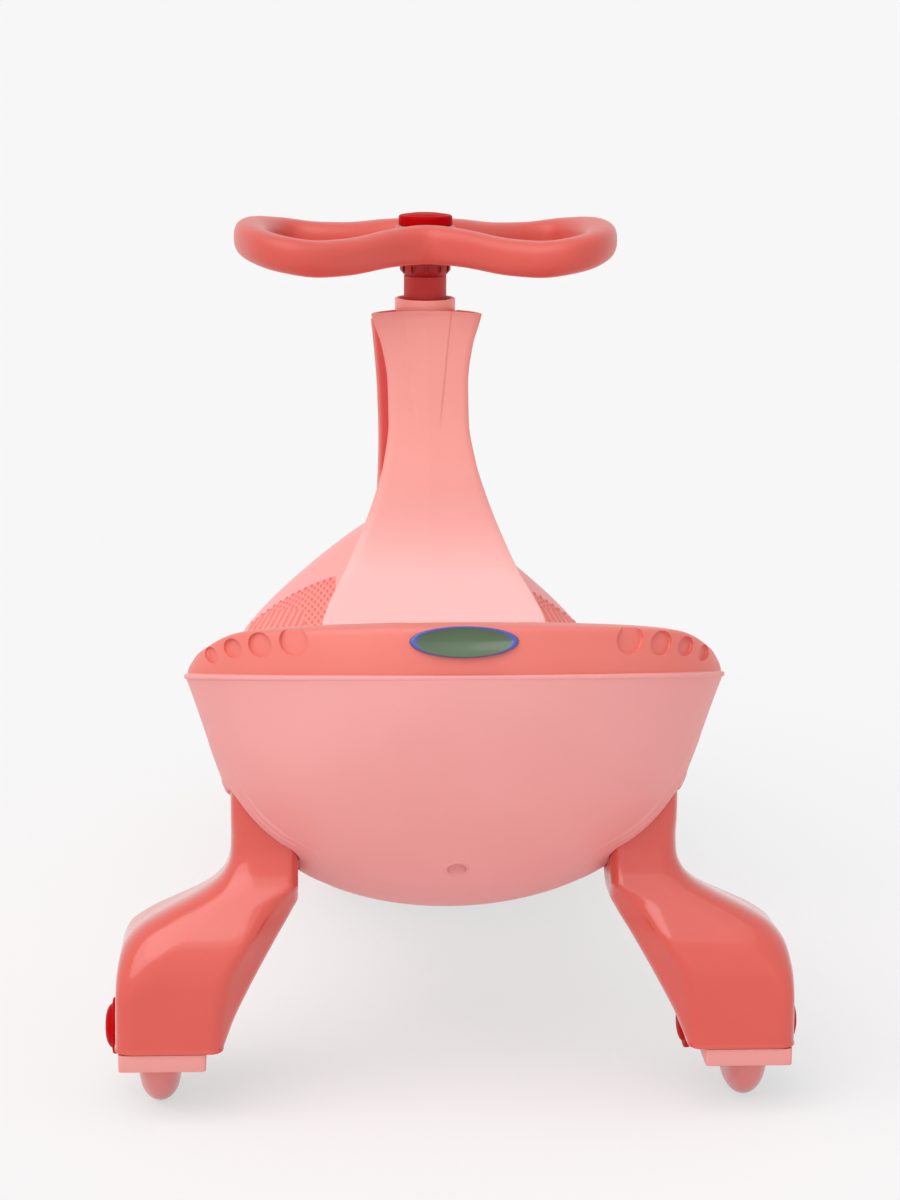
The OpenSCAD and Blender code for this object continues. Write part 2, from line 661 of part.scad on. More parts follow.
// Room inside a leg for its wheel bracket
bracket_top_z = 82;
leg_wall_out = 3.5;
leg_wall_in = 6;
leg_wall_end = 10;
bracket_out = leg_out - leg_wall_out;
bracket_in = leg_in - leg_wall_in;
bracket_reach = leg_reach - leg_wall_end;
well_r = wheel_r + wheel_gap - 0.5;
past = 10;
spot_r = hub_cap_d / 2 + 1;
spot_depth = 0.8;
cap_seat = foot_out - spot_depth;
well_half = tyre_w / 2 + wheel_gap;

// Space that a rear wheel turns in, open at the bottom
module wheel_well(side) {
    x_rod(well_r, side * (wheel_x - well_half), side * (wheel_x + well_half), axle_y, wheel_r);
    translate([side * wheel_x - well_half, axle_y - well_r, 0])
    cube([2 * well_half, 2 * well_r, wheel_r]);
}

// Block of a wheel bracket that plugs up into a leg
module bracket_block(side, low, grow) {
    middle = side * (wheel_x + (bracket_out - bracket_in) / 2);
    width = bracket_out + bracket_in + 2 * grow;
    reach = bracket_reach + grow;
    translate([middle - width / 2, axle_y - reach, low])
    cube([width, 2 * reach, bracket_top_z + grow - low]);
}

// Flat round seats of the hub caps on both faces of a leg
module cap_spots(side) {
    x_rod(spot_r, side * (tube_in - past), side * foot_in, axle_y, wheel_r);
    x_rod(spot_r, side * cap_seat, side * (foot_out + past), axle_y, wheel_r);
}

module leg(side) {
    color(deep_coral)
    difference() {
        ring_stack([for (z = leg_levels) leg_ring(z, side)]);
        bracket_block(side, leg_foot_z - past, seam);
        wheel_well(side);
        x_rod(axle_d / 2 + seam, side * (foot_in - past), side * (foot_out + past), axle_y, wheel_r);
        cap_spots(side);
        for (y = tie_screw_y)
            translate([side * leg_tube_x, y, leg_top_z - tie_grip])
            cylinder(r = screw_d / 2 + run_gap, h = tie_grip + past);
    }
}

// Steel bar across the tops of both legs inside the hull
tie_t = 4;
tie_grip = 20;
tie_end = 4;
tie_screw_y = [axle_y + 2, axle_y + 22];
tie_back = axle_y - 8;
tie_fore = axle_y + 32;
module leg_tie_bar() {
    color(steel)
    difference() {
        translate([-tube_out + tie_end, tie_back, leg_top_z])
        cube([2 * (tube_out - tie_end), tie_fore - tie_back, tie_t]);
        for (side = [-1, 1], y = tie_screw_y)
            translate([side * leg_tube_x, y, leg_top_z - 1])
            cylinder(r = screw_d / 2 + seam, h = tie_t + 2);
    }
}

// Pan-head screw standing on its head, with the cross slot of the driver
screw_head_t = 3;
slot_len = 4.4;
slot_w = 1;
slot_depth = 1.4;
module screw(grip) {
    difference() {
        union() {
            cylinder(d = screw_head_d, h = screw_head_t);
            cylinder(d = screw_d, h = screw_head_t + grip);
        }
        for (turn = [0, 90])
            rotate([0, 0, turn]) cube([slot_len, slot_w, 2 * slot_depth], center = true);
    }
}

module leg_screws() {
    color(steel)
    for (side = [-1, 1], y = tie_screw_y)
        translate([side * leg_tube_x, y, leg_top_z + tie_t + screw_head_t])
        rotate([180, 0, 0]) screw(tie_grip);
}

module body_screws() {
    color(steel)
    for (p = post_places)
        translate([p[0], p[1], screw_shelf(p) - screw_head_t])
        screw(post_top(p) + screw_bite - screw_shelf(p));
}

// Plain oval plate on the rear lip of the seat
badge_t = 2;
badge_rise = 0.66;
module badge_plate() {
    lean = atan2(lip_in - face_in, (lip_rise - face_rise) * lip_h);
    color([0.20, 0.22, 0.42])
    translate([0, rear_y + face_inset(badge_rise) - seam, rim_rear_z + seam + badge_rise * lip_h])
    rotate([90 - lean, 0, 0])
    linear_extrude(badge_t)
    polygon([for (a = [0:6:354]) [badge_w / 2 * cos(a), badge_h / 2 * sin(a)]]);
}

// Block that holds a rear wheel between two cheeks and plugs up into the leg
flange_step = 1.2;
module wheel_bracket(side) {
    color(smoke_pink)
    difference() {
        union() {
            bracket_block(side, leg_foot_z - bracket_show, 0);
            translate([0, 0, leg_foot_z - bracket_show]) linear_extrude(bracket_show - seam)
            polygon([for (q = leg_ring(leg_foot_z, side, -flange_step)) [q[0], q[1]]]);
        }
        wheel_well(side);
        x_rod(axle_d / 2 + run_gap, side * (foot_in - past), side * (foot_out + past), axle_y, wheel_r);
        cap_spots(side);
    }
}

// Hexagon bolt along X with its head on the outer side of the leg
hex_d = 14.4;
head_t = 4;
nut_t = 4;
bolt_end = 1;
module axle_bolt(side) {
    color(steel)
    union() {
        x_rod(axle_d / 2, side * (foot_in - nut_t - bolt_end), side * (cap_seat + head_t / 2),
            axle_y, wheel_r);
        translate([side * (cap_seat + head_t / 2), axle_y, wheel_r]) rotate([0, 90, 0])
        cylinder(d = hex_d, h = head_t, $fn = 6, center = true);
    }
}

module axle_nut(side) {
    color(steel)
    translate([side * (foot_in - nut_t / 2), axle_y, wheel_r]) rotate([0, 90, 0])
    difference() {
        cylinder(d = hex_d, h = nut_t, $fn = 6, center = true);
        cylinder(r = axle_d / 2 + run_gap, h = nut_t + 2, center = true);
    }
}

// Red cap, open on the side that goes over the bolt head or the nut
cap_flange_t = 3.3;
cap_bevel = 0.7;
cap_wall = 1.2;
cap_gap = 0.1;
cap_hollow_h = max(head_t, nut_t) + cap_gap + seam;
module hub_cap() {
    r = hub_cap_d / 2;
    hollow_r = hex_d / 2 + seam;
    dome_r = r * 0.78;
    rotate_extrude()
    polygon(concat(
        [[hollow_r, 0], [r - cap_bevel, 0], [r, cap_bevel], [r, cap_flange_t - cap_bevel],
         [r - cap_bevel, cap_flange_t], [dome_r, cap_flange_t]],
        [for (a = [0:15:90]) [dome_r * cos(a), cap_flange_t + (hub_cap_h - cap_flange_t) * sin(a)]],
        [[0, hub_cap_h - cap_wall], [hollow_r * 0.7, hub_cap_h - cap_wall], [hollow_r, cap_hollow_h]]));
}

module side_cap(x, side, y) {
    color(clear_red)
    translate([x, y, wheel_r]) rotate([0, side * 90, 0]) hub_cap();
}

// Short tubes that hold a wheel in the middle of its bracket
spacer_r = axle_d / 2 + 2.4;
hub_half = tyre_w / 2 - 1;
end_play = 0.15;
module spacers(side) {
    x = side * wheel_x;
    color(black_nylon)
    for (end = [-1, 1])
        difference() {
            x_rod(spacer_r, x + end * (hub_half + end_play), x + end * (well_half - end_play),
                axle_y, wheel_r);
            x_rod(axle_d / 2 + run_gap, x - well_half, x + well_half, axle_y, wheel_r);
        }
}

// Wheels: clear bullet tyre on a core with a ball bearing pressed into each side
tyre_bevel = 2;
tread_depth = 9.5;
module tyre(x, y) {
    half = tyre_w / 2;
    bore = hub_r + run_gap;
    color(smoke_pink)
    translate([x, y, wheel_r]) rotate([0, 90, 0])
    rotate_extrude()
    polygon(concat(
        [[bore, -half + tyre_bevel], [bore, half - tyre_bevel], [bore + tyre_bevel, half]],
        [for (a = [90:-15:-90]) [wheel_r - tread_depth * (1 - cos(a)), half * sin(a)]],
        [[bore + tyre_bevel, -half]]));
}

hub_boss = 3;
hub_bore_gap = 2;
module wheel_hub(x, y) {
    color(deep_coral)
    translate([x, y, wheel_r]) rotate([0, 90, 0])
    difference() {
        union() {
            cylinder(r = hub_r, h = tyre_w - 2 * tyre_bevel, center = true);
            cylinder(r = bearing_d / 2 + hub_boss, h = 2 * hub_half, center = true);
        }
        cylinder(r = axle_d / 2 + hub_bore_gap, h = tyre_w, center = true);
        for (end = [-1, 1])
            translate([0, 0, end * hub_half])
            cylinder(r = bearing_d / 2 + run_gap, h = 2 * bearing_w, center = true);
    }
}

module bearings(x, y) {
    color(steel)
    for (end = [-1, 1])
        translate([x + end * (hub_half - bearing_w / 2), y, wheel_r]) rotate([0, 90, 0])
        difference() {
            cylinder(d = bearing_d, h = bearing_w, center = true);
            cylinder(r = axle_d / 2 + run_gap, h = bearing_w + 2, center = true);
        }
}

// Bushes that guide the shaft: a cup in the neck top and a flange under the hull
bush_step = 2.5;
bush_r = collar_d / 2 - bush_step;
bush_len = 18;
bush_lift = 0.1;
upper_flange_t = 2;
module upper_bush() {
    color(coral)
    difference() {
        union() {
            translate([0, column_y, neck_top_z - bush_len]) cylinder(r = bush_r, h = bush_len + bush_lift);
            translate([0, column_y, neck_top_z + bush_lift]) cylinder(d = collar_d, h = collar_h - bush_lift);
        }
        translate([0, column_y, neck_top_z - bush_len - past])
        cylinder(r = shaft_d / 2 + run_gap, h = bush_len + 2 * past);
        translate([0, column_y, neck_top_z + upper_flange_t])
        cylinder(d = collar_d - 2 * collar_wall, h = collar_h);
    }
}

lower_flange_t = 2.5;
lower_flange_r = bush_r + 5;
module lower_bush() {
    color(black_nylon)
    difference() {
        union() {
            translate([0, column_y, belly_z - lower_flange_t - bush_lift])
            cylinder(r = lower_flange_r, h = lower_flange_t);
            translate([0, column_y, belly_z - lower_flange_t / 2]) cylinder(r = bush_r, h = bush_len);
        }
        translate([0, column_y, belly_z - past]) cylinder(r = shaft_d / 2 + run_gap, h = bush_len + 2 * past);
    }
}

// Butterfly steering wheel: a pinched ring of tube with a hub across its middle
grip_points = 72;
grip_sides = 16;
grip_low_z = neck_top_z + grip_z;
grip_mid_z = grip_low_z + grip_tube_h / 2;
loop_gain = 3.17;
loop_power = 1.7;
loop_corner = 1.2;
tube_corner = 0.85;
function grip_path(a) =
    let (c = cos(a), wide = grip_w / 2 - grip_tube_w / 2, pinch = grip_pinch / 2 - grip_tube_w / 2,
        deep = grip_depth / 2 - grip_tube_w / 2)
    [wide * corner(c, loop_corner),
     sin(a) * (pinch + loop_gain * (deep - pinch) * pow(abs(c), loop_power)), 0];
function grip_ring(a) =
    let (p = grip_path(a), t = grip_path(a + 1) - grip_path(a - 1), n = [t[1], -t[0], 0] / norm(t))
    [for (b = [0:grip_sides - 1])
        let (turn = 360 * b / grip_sides,
            u = corner(cos(turn), tube_corner), v = corner(sin(turn), tube_corner))
        [0, column_y, grip_mid_z] + p + n * u * grip_tube_w / 2 + [0, 0, v * grip_tube_h / 2]];
hub_top_z = grip_low_z + grip_tube_h + 1;
hub_out_r = grip_pinch / 2 - grip_tube_w * 0.3;
hub_low_z = grip_low_z + 2;
shaft_top_z = hub_top_z - 6.5;
cup_floor_z = hub_top_z - 6;
cup_wall = 2;
module steering_wheel() {
    color(deep_coral)
    difference() {
        union() {
            ring_loop([for (n = [0:grip_points - 1]) grip_ring(360 * (n + 0.5) / grip_points)]);
            translate([0, column_y, hub_low_z]) cylinder(r = hub_out_r, h = hub_top_z - hub_low_z);
            translate([0, column_y, grip_low_z]) cylinder(d = cap_d, h = grip_tube_h);
        }
        translate([0, column_y, 0]) cylinder(r = shaft_d / 2 + run_gap, h = hub_top_z);
        translate([0, column_y, cup_floor_z]) cylinder(d = cap_d - 2 * cup_wall, h = past);
    }
}

// Stepped red cap with a skirt that presses into the cup of the hub
skirt_out = cap_d / 2 - cup_wall - seam;
skirt_in = skirt_out - 1.7;
skirt_depth = 3;
cap_step = 2;
module steering_cap() {
    r = cap_d / 2;
    dome_z = cap_h * 0.75;
    color(clear_red)
    translate([0, column_y, hub_top_z + cap_gap])
    rotate_extrude()
    polygon(concat(
        [[0, cap_wall], [skirt_in, cap_wall], [skirt_in, -skirt_depth], [skirt_out, -skirt_depth],
         [skirt_out, 0], [r - cap_bevel, 0], [r, cap_bevel], [r, cap_h * 0.35],
         [r - cap_step * 0.8, cap_h * 0.42], [r - cap_step, dome_z]],
        [for (a = [15:15:90]) [(r - cap_step) * cos(a), mix(dome_z, cap_h, sin(a))]]));
}

// Flanged bolt that draws the steering wheel down onto the shaft
wheel_bolt_d = 8;
wheel_bolt_len = 20;
bolt_flange_d = 20;
bolt_flange_t = 1.5;
bolt_head_d = 13;
bolt_head_t = 4.5;
module wheel_bolt() {
    flange_z = cup_floor_z + cap_gap;
    color(steel)
    union() {
        translate([0, column_y, flange_z]) cylinder(d = bolt_flange_d, h = bolt_flange_t);
        translate([0, column_y, flange_z])
        cylinder(d = bolt_head_d, h = bolt_flange_t + bolt_head_t, $fn = 6);
        translate([0, column_y, shaft_top_z - wheel_bolt_len])
        cylinder(r = wheel_bolt_d / 2 - run_gap, h = flange_z - shaft_top_z + wheel_bolt_len);
    }
}

// Ribbed nut below the wheel, with notches for its key
nut_h = 9;
nut_low_z = grip_low_z - nut_h;
nut_step = 2.4;
nut_slope = 3;
notches = 12;
notch_w = 3;
module hub_nut() {
    r = sleeve_d / 2;
    bore = shaft_d / 2 + run_gap;
    top_z = grip_low_z - bush_lift;
    color(deep_coral)
    difference() {
        translate([0, column_y, 0])
        rotate_extrude()
        polygon([[bore, nut_low_z], [r, nut_low_z], [r + nut_step, nut_low_z + nut_slope],
            [r + nut_step, top_z], [bore, top_z]]);
        for (n = [0:notches - 1])
            translate([0, column_y, 0]) rotate([0, 0, 360 * n / notches])
            translate([r + nut_step / 2, -notch_w / 2, nut_low_z - past])
            cube([nut_step, notch_w, past + nut_h - upper_flange_t]);
    }
}

module column_sleeve() {
    low = neck_top_z + upper_flange_t + end_play;
    color(deep_coral)
    translate([0, column_y, low])
    difference() {
        cylinder(d = sleeve_d, h = nut_low_z - low - bush_lift);
        translate([0, 0, -past]) cylinder(r = shaft_d / 2 + run_gap, h = nut_low_z);
    }
}

shaft_low_z = 46;
pin_z = 62;
pin_d = 5;
module steering_shaft() {
    color(steel)
    difference() {
        translate([0, column_y, shaft_low_z]) cylinder(d = shaft_d, h = shaft_top_z - shaft_low_z);
        translate([0, column_y, shaft_top_z - wheel_bolt_len - bolt_end])
        cylinder(d = wheel_bolt_d, h = wheel_bolt_len + past);
        x_rod(pin_d / 2 + run_gap, -shaft_d, shaft_d, column_y, pin_z);
    }
}

// Steered fork: socket for the shaft and a tube for the front axle ahead of it
socket_r = 20;
socket_floor = 6;
washer_t = 2;
socket_top_z = belly_z - lower_flange_t - washer_t - 0.4;
fork_half = front_wheel_x - hub_half - seam;
fork_tube_r = 13;
fork_step = 6;
web_half = socket_r - 3;
web_half_h = fork_tube_r - 4;
module front_fork() {
    color(black_nylon)
    difference() {
        union() {
            translate([0, column_y, shaft_low_z - socket_floor])
            cylinder(r = socket_r, h = socket_top_z - shaft_low_z + socket_floor);
            translate([-web_half, column_y, wheel_r - web_half_h])
            cube([2 * web_half, caster, 2 * web_half_h]);
            x_rod(fork_tube_r, -fork_half + fork_step, fork_half - fork_step, front_axle_y, wheel_r);
            x_rod(spacer_r, -fork_half, fork_half, front_axle_y, wheel_r);
        }
        translate([0, column_y, shaft_low_z]) cylinder(r = shaft_d / 2 + run_gap, h = socket_top_z);
        x_rod(axle_d / 2 + run_gap, -front_track, front_track, front_axle_y, wheel_r);
        x_rod(pin_d / 2 + run_gap, -front_track, front_track, column_y, pin_z);
    }
}

module thrust_washer() {
    color(steel)
    translate([0, column_y, socket_top_z + bush_lift])
    difference() {
        cylinder(r = socket_r - washer_t, h = washer_t);
        translate([0, 0, -past]) cylinder(r = shaft_d / 2 + run_gap, h = 2 * past);
    }
}

module fork_pin() {
    color(steel)
    x_rod(pin_d / 2, -socket_r - bolt_end, socket_r + bolt_end, column_y, pin_z);
}

front_nut_x = front_wheel_x + hub_half + seam;
module front_axle() {
    color(steel)
    x_rod(axle_d / 2, -front_nut_x - nut_t, front_nut_x + nut_t, front_axle_y, wheel_r);
}

module front_nuts() {
    color(steel)
    for (side = [-1, 1])
        translate([side * (front_nut_x + nut_t / 2), front_axle_y, wheel_r]) rotate([0, 90, 0])
        difference() {
            cylinder(d = hex_d, h = nut_t, $fn = 6, center = true);
            cylinder(r = axle_d / 2 + run_gap, h = nut_t + 2, center = true);
        }
}

lower_hull();
seat_deck();
front_deck();
neck();
foot_pad(-1);  // left_foot_pad
foot_pad(1);  // right_foot_pad
leg(-1);  // left_leg
leg(1);  // right_leg
leg_tie_bar();
leg_screws();
body_screws();
badge_plate();
wheel_bracket(-1);  // left_wheel_bracket
wheel_bracket(1);  // right_wheel_bracket
axle_bolt(-1);  // left_axle_bolt
axle_bolt(1);  // right_axle_bolt
axle_nut(-1);  // left_axle_nut
axle_nut(1);  // right_axle_nut
side_cap(-cap_seat - cap_gap, -1, axle_y);  // left_outer_cap
side_cap(cap_seat + cap_gap, 1, axle_y);  // right_outer_cap
side_cap(-foot_in + cap_gap, 1, axle_y);  // left_inner_cap
side_cap(foot_in - cap_gap, -1, axle_y);  // right_inner_cap
spacers(-1);  // left_spacers
spacers(1);  // right_spacers
upper_bush();
lower_bush();
steering_wheel();
steering_cap();
wheel_bolt();
hub_nut();
column_sleeve();
steering_shaft();
thrust_washer();
front_fork();
fork_pin();
front_axle();
front_nuts();
side_cap(-front_nut_x - cap_gap, -1, front_axle_y);  // front_left_cap
side_cap(front_nut_x + cap_gap, 1, front_axle_y);  // front_right_cap
tyre(-wheel_x, axle_y);  // rear_left_tyre
wheel_hub(-wheel_x, axle_y);  // rear_left_hub
bearings(-wheel_x, axle_y);  // rear_left_bearings
tyre(wheel_x, axle_y);  // rear_right_tyre
wheel_hub(wheel_x, axle_y);  // rear_right_hub
bearings(wheel_x, axle_y);  // rear_right_bearings
tyre(-front_wheel_x, front_axle_y);  // front_left_tyre
wheel_hub(-front_wheel_x, front_axle_y);  // front_left_hub
bearings(-front_wheel_x, front_axle_y);  // front_left_bearings
tyre(front_wheel_x, front_axle_y);  // front_right_tyre
wheel_hub(front_wheel_x, front_axle_y);  // front_right_hub
bearings(front_wheel_x, front_axle_y);  // front_right_bearings
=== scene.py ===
import json
import math

import bpy
from mathutils import Matrix, Vector


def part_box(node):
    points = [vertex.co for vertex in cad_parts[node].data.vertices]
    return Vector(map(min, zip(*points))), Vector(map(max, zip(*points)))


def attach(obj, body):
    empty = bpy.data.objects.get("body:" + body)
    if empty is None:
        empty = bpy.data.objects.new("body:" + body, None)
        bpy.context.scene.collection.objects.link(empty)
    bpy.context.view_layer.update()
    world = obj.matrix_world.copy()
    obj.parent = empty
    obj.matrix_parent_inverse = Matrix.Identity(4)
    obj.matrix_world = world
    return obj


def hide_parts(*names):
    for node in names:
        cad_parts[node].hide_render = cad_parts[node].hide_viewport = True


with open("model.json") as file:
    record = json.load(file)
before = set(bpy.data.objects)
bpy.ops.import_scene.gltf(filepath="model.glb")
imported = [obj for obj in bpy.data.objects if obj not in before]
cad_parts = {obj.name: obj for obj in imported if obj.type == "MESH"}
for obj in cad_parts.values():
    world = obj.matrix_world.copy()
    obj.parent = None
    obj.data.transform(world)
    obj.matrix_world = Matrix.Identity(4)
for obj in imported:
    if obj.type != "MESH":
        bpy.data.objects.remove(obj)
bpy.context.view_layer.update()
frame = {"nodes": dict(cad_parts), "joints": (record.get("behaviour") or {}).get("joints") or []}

# Lower hull. A boat-shaped shell of pale pink plastic with a fine satin grain, moulded in one piece.
# Its rim is rolled to a bead, and each leg plugs into a sleeve that opens on its underside.
MM = 0.001
WELD = 0.02 * MM
hull_low, hull_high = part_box("lower_hull")
joint_at = {joint["name"]: Vector(joint["pos_m"]) / MM for joint in frame["joints"]}
rear_y = hull_low.y / MM
nose_y = hull_high.y / MM
axle_y = joint_at["rear_right_wheel_spin"].y
column_y = joint_at["steering_turn"].y
rear_overhang = axle_y - rear_y
waist_y = axle_y + 190
tub_y = axle_y + 130
front_y = column_y + 93
seat_half = 132
waist_half = 88
front_half = 118
tub_z = 72
belly_z = 84
belly_y = column_y - 95.7
hull_flare = 0.32
hull_swell = 0.15
hull_row_crowding = 0.7
shell_wall = 3
rim_keys = [(rear_y, 233), (axle_y, 216), (waist_y, 172), (column_y, 128), (front_y, 119), (nose_y, 119)]
width_keys = [(axle_y, seat_half), (waist_y, waist_half), (front_y, front_half)]
belly_keys = [(tub_y, tub_z), (belly_y, belly_z), (nose_y, belly_z)]


def smooth_curve(keys, place, flat=False):
    # Value at a place on a curve through the keys that never overshoots them
    last = len(keys) - 1
    i = 0
    while i < last - 1 and place >= keys[i + 1][0]:
        i += 1

    def step(n):
        return (keys[n + 1][1] - keys[n][1]) / (keys[n + 1][0] - keys[n][0])

    def slope(n):
        if n == 0 or n == last:
            return 0 if flat else step(min(n, last - 1))
        before = step(n - 1)
        after = step(n)
        return 0 if before * after <= 0 else 2 * before * after / (before + after)

    gap = keys[i + 1][0] - keys[i][0]
    t = min(1, max(0, (place - keys[i][0]) / gap))
    start = keys[i][1] * (1 + 2 * t) * (1 - t) ** 2 + gap * slope(i) * t * (1 - t) ** 2
    stop = keys[i + 1][1] * t * t * (3 - 2 * t) - gap * slope(i + 1) * t * t * (1 - t)
    return start + stop


def ease(t):
    t = min(1, max(0, t))
    return t * t * (3 - 2 * t)


def mix(a, b, t):
    return a + (b - a) * t


def round_end(t):
    return math.sqrt(max(0, 1 - t * t))


def rim_z(y):
    return smooth_curve(rim_keys, y)


def half_width(y):
    if y < axle_y:
        return seat_half * round_end((axle_y - y) / rear_overhang)
    if y > front_y:
        return front_half * round_end((y - front_y) / (nose_y - front_y))
    return smooth_curve(width_keys, y, True)


def keel_z(y):
    if y < tub_y:
        depth = (rim_z(y) - tub_z) * round_end((tub_y - y) / (tub_y - rear_y))
    else:
        depth = rim_z(y) - smooth_curve(belly_keys, y, True)
    if y > front_y:
        depth *= round_end((y - front_y) / (nose_y - front_y))
    return rim_z(y) - depth


def hull_share(depth):
    # Share of the half width that the hull has left at a share of its depth
    taper = 1 - hull_flare * depth + hull_swell * depth * depth
    return taper * math.sqrt(max(0, 1 - depth ** 4))


def hull_under(x, y):
    # Height of the hull's outer face at a point seen from above
    low = 0
    high = 1
    for _ in range(24):
        middle = (low + high) / 2
        if hull_share(middle) * half_width(y) > abs(x):
            low = middle
        else:
            high = middle
    return mix(rim_z(y), keel_z(y), low)


def hull_place(u, v):
    across = 1 - 2 * u
    depth = math.sin(math.pi / 2 * (1 - abs(across))) ** hull_row_crowding
    y = mix(rear_y, nose_y, (1 - math.cos(math.pi * v)) / 2)
    x = half_width(y) * hull_share(depth) * (1 if across > 0 else -1)
    return x, y, mix(rim_z(y), keel_z(y), depth)


def choose(piece):
    bpy.ops.object.select_all(action="DESELECT")
    piece.select_set(True)
    bpy.context.view_layer.objects.active = piece


def apply_modifier(piece, kind, **settings):
    choose(piece)
    bpy.ops.object.modifier_add(type=kind)
    modifier = piece.modifiers[-1]
    for key, value in settings.items():
        setattr(modifier, key, value)
    bpy.ops.object.modifier_apply(modifier=modifier.name)


def weld(piece, inside=None):
    # Joins points that coincide and turns all faces outwards, away from the point inside if one is given
    choose(piece)
    bpy.ops.object.mode_set(mode="EDIT")
    bpy.ops.mesh.select_all(action="SELECT")
    bpy.ops.mesh.remove_doubles(threshold=WELD)
    if inside is None:
        bpy.ops.mesh.normals_make_consistent(inside=False)
    bpy.ops.object.mode_set(mode="OBJECT")
    if inside is not None:
        middle = Vector(inside) * MM
        faces = piece.data.polygons
        if sum(face.area * face.normal.dot(face.center - middle) for face in faces) < 0:
            bpy.ops.object.mode_set(mode="EDIT")
            bpy.ops.mesh.select_all(action="SELECT")
            bpy.ops.mesh.flip_normals()
            bpy.ops.object.mode_set(mode="OBJECT")
    bpy.ops.object.shade_smooth()


def moulding(name, columns, rows, place, inside=None):
    # Sheet of faces whose point at shares u and v of its columns and rows lies at place(u, v)
    bpy.ops.mesh.primitive_grid_add(x_subdivisions=columns, y_subdivisions=rows, size=2)
    piece = bpy.context.active_object
    piece.name = name
    piece.data.name = name
    for vertex in piece.data.vertices:
        vertex.co = Vector(place((vertex.co.x + 1) / 2, (vertex.co.y + 1) / 2)) * MM
    weld(piece, inside)
    return piece


def loft(name, rings, inside=None):
    # Skin over closed rings that all have as many points
    count = len(rings[0])
    last = len(rings) - 1

    def ring_point(u, v):
        return rings[round(v * last)][round(u * count) % count]

    return moulding(name, count, last, ring_point, inside)


def smooth_to(piece, degrees):
    # Smooth shading over all edges that turn by less than an angle
    choose(piece)
    bpy.ops.object.shade_smooth_by_angle(angle=math.radians(degrees))


def cut(piece, cutter):
    apply_modifier(piece, "BOOLEAN", operation="DIFFERENCE", solver="EXACT", object=cutter)
    bpy.data.objects.remove(cutter)


def rod(radius, start, end, sides=64):
    # Plain round cutter between two points
    start = Vector(start) * MM
    end = Vector(end) * MM
    way = end - start
    bpy.ops.mesh.primitive_cylinder_add(vertices=sides, radius=radius * MM, depth=way.length)
    piece = bpy.context.active_object
    turn = way.to_track_quat("Z", "Y").to_matrix().to_4x4()
    piece.data.transform(Matrix.Translation((start + end) / 2) @ turn)
    return piece


def merge(name, pieces):
    bpy.ops.object.select_all(action="DESELECT")
    for piece in pieces:
        piece.select_set(True)
    bpy.context.view_layer.objects.active = pieces[0]
    bpy.ops.object.join()
    pieces[0].name = name
    pieces[0].data.name = name
    return pieces[0]


def rounded(corners, steps=7, flats=6):
    # Closed outline through corners given as x, y and how far before the corner its arc begins
    outline = []
    count = len(corners)
    points = [Vector(corner[:2]) for corner in corners]
    sides = [(points[(i + 1) % count] - points[i]).length for i in range(count)]
    trims = [min(corners[i][2], 0.45 * sides[i - 1], 0.45 * sides[i]) for i in range(count)]
    for i, point in enumerate(points):
        before = points[i - 1]
        after = points[(i + 1) % count]
        start = point + (before - point).normalized() * trims[i]
        end = point + (after - point).normalized() * trims[i]
        for n in range(steps + 1):
            t = n / steps
            outline.append(start * (1 - t) ** 2 + point * 2 * t * (1 - t) + end * t * t)
        stop = after + (point - after).normalized() * trims[(i + 1) % count]
        for n in range(1, flats):
            outline.append(end.lerp(stop, n / flats))
    return outline


leg_foot_z = 36
leg_top_z = 172
leg_roof_fall = 10
tube_in = 77
tube_out = 110
foot_in = 119
sleeve_z = 150
leg_out_keys = [(leg_foot_z, 166.5), (70, 166), (82, 164.6), (88.5, 162.8), (94.6, 159.4), (100.7, 150.3),
                (106.7, 135.6), (112.7, 122), (118.8, 114), (126, 110.5), (134, tube_out),
                (leg_top_z, tube_out)]
leg_in_keys = [(leg_foot_z, 114.5), (44, 111), (50, 108.4), (62, 102), (74.5, 94.9), (87, 87.4), (99, 79.8),
               (105, tube_in), (leg_top_z, tube_in)]
leg_back_keys = [(leg_foot_z, 43.4), (52, 44), (70, 43.4), (80, 41.8), (90, 38), (100, 31), (110, 23.4),
                 (120, 17.6), (130, 14.8), (142, 14), (leg_top_z, 14)]
leg_fore_keys = [(leg_foot_z, 44), (66, 44), (80, 42), (95, 36.5), (105, 35), (leg_top_z, 35)]
facet_keys = [(leg_foot_z, 117.5), (58, 115.3), (69.5, 113.3), (79, 109.3), (91, 101.2), (100, 95.6),
              (105, 91), (110, 84.5), (114, 80), (leg_top_z, 80)]
facet_depth_keys = [(leg_foot_z, 4), (58, 15), (79, 21), (92, 22), (101, 19), (107, 12), (113, 5),
                    (leg_top_z, 5)]
shoulder_low_z = 60
shoulder_low_fade = 35
shoulder_top_z = 150
shoulder_top_fade = 40
tube_low_z = 96
tube_fade = 18
foot_corner = 9
shoulder_corner = 25
facet_corner = 5
tube_facet_corner = 12
inner_corner = 5


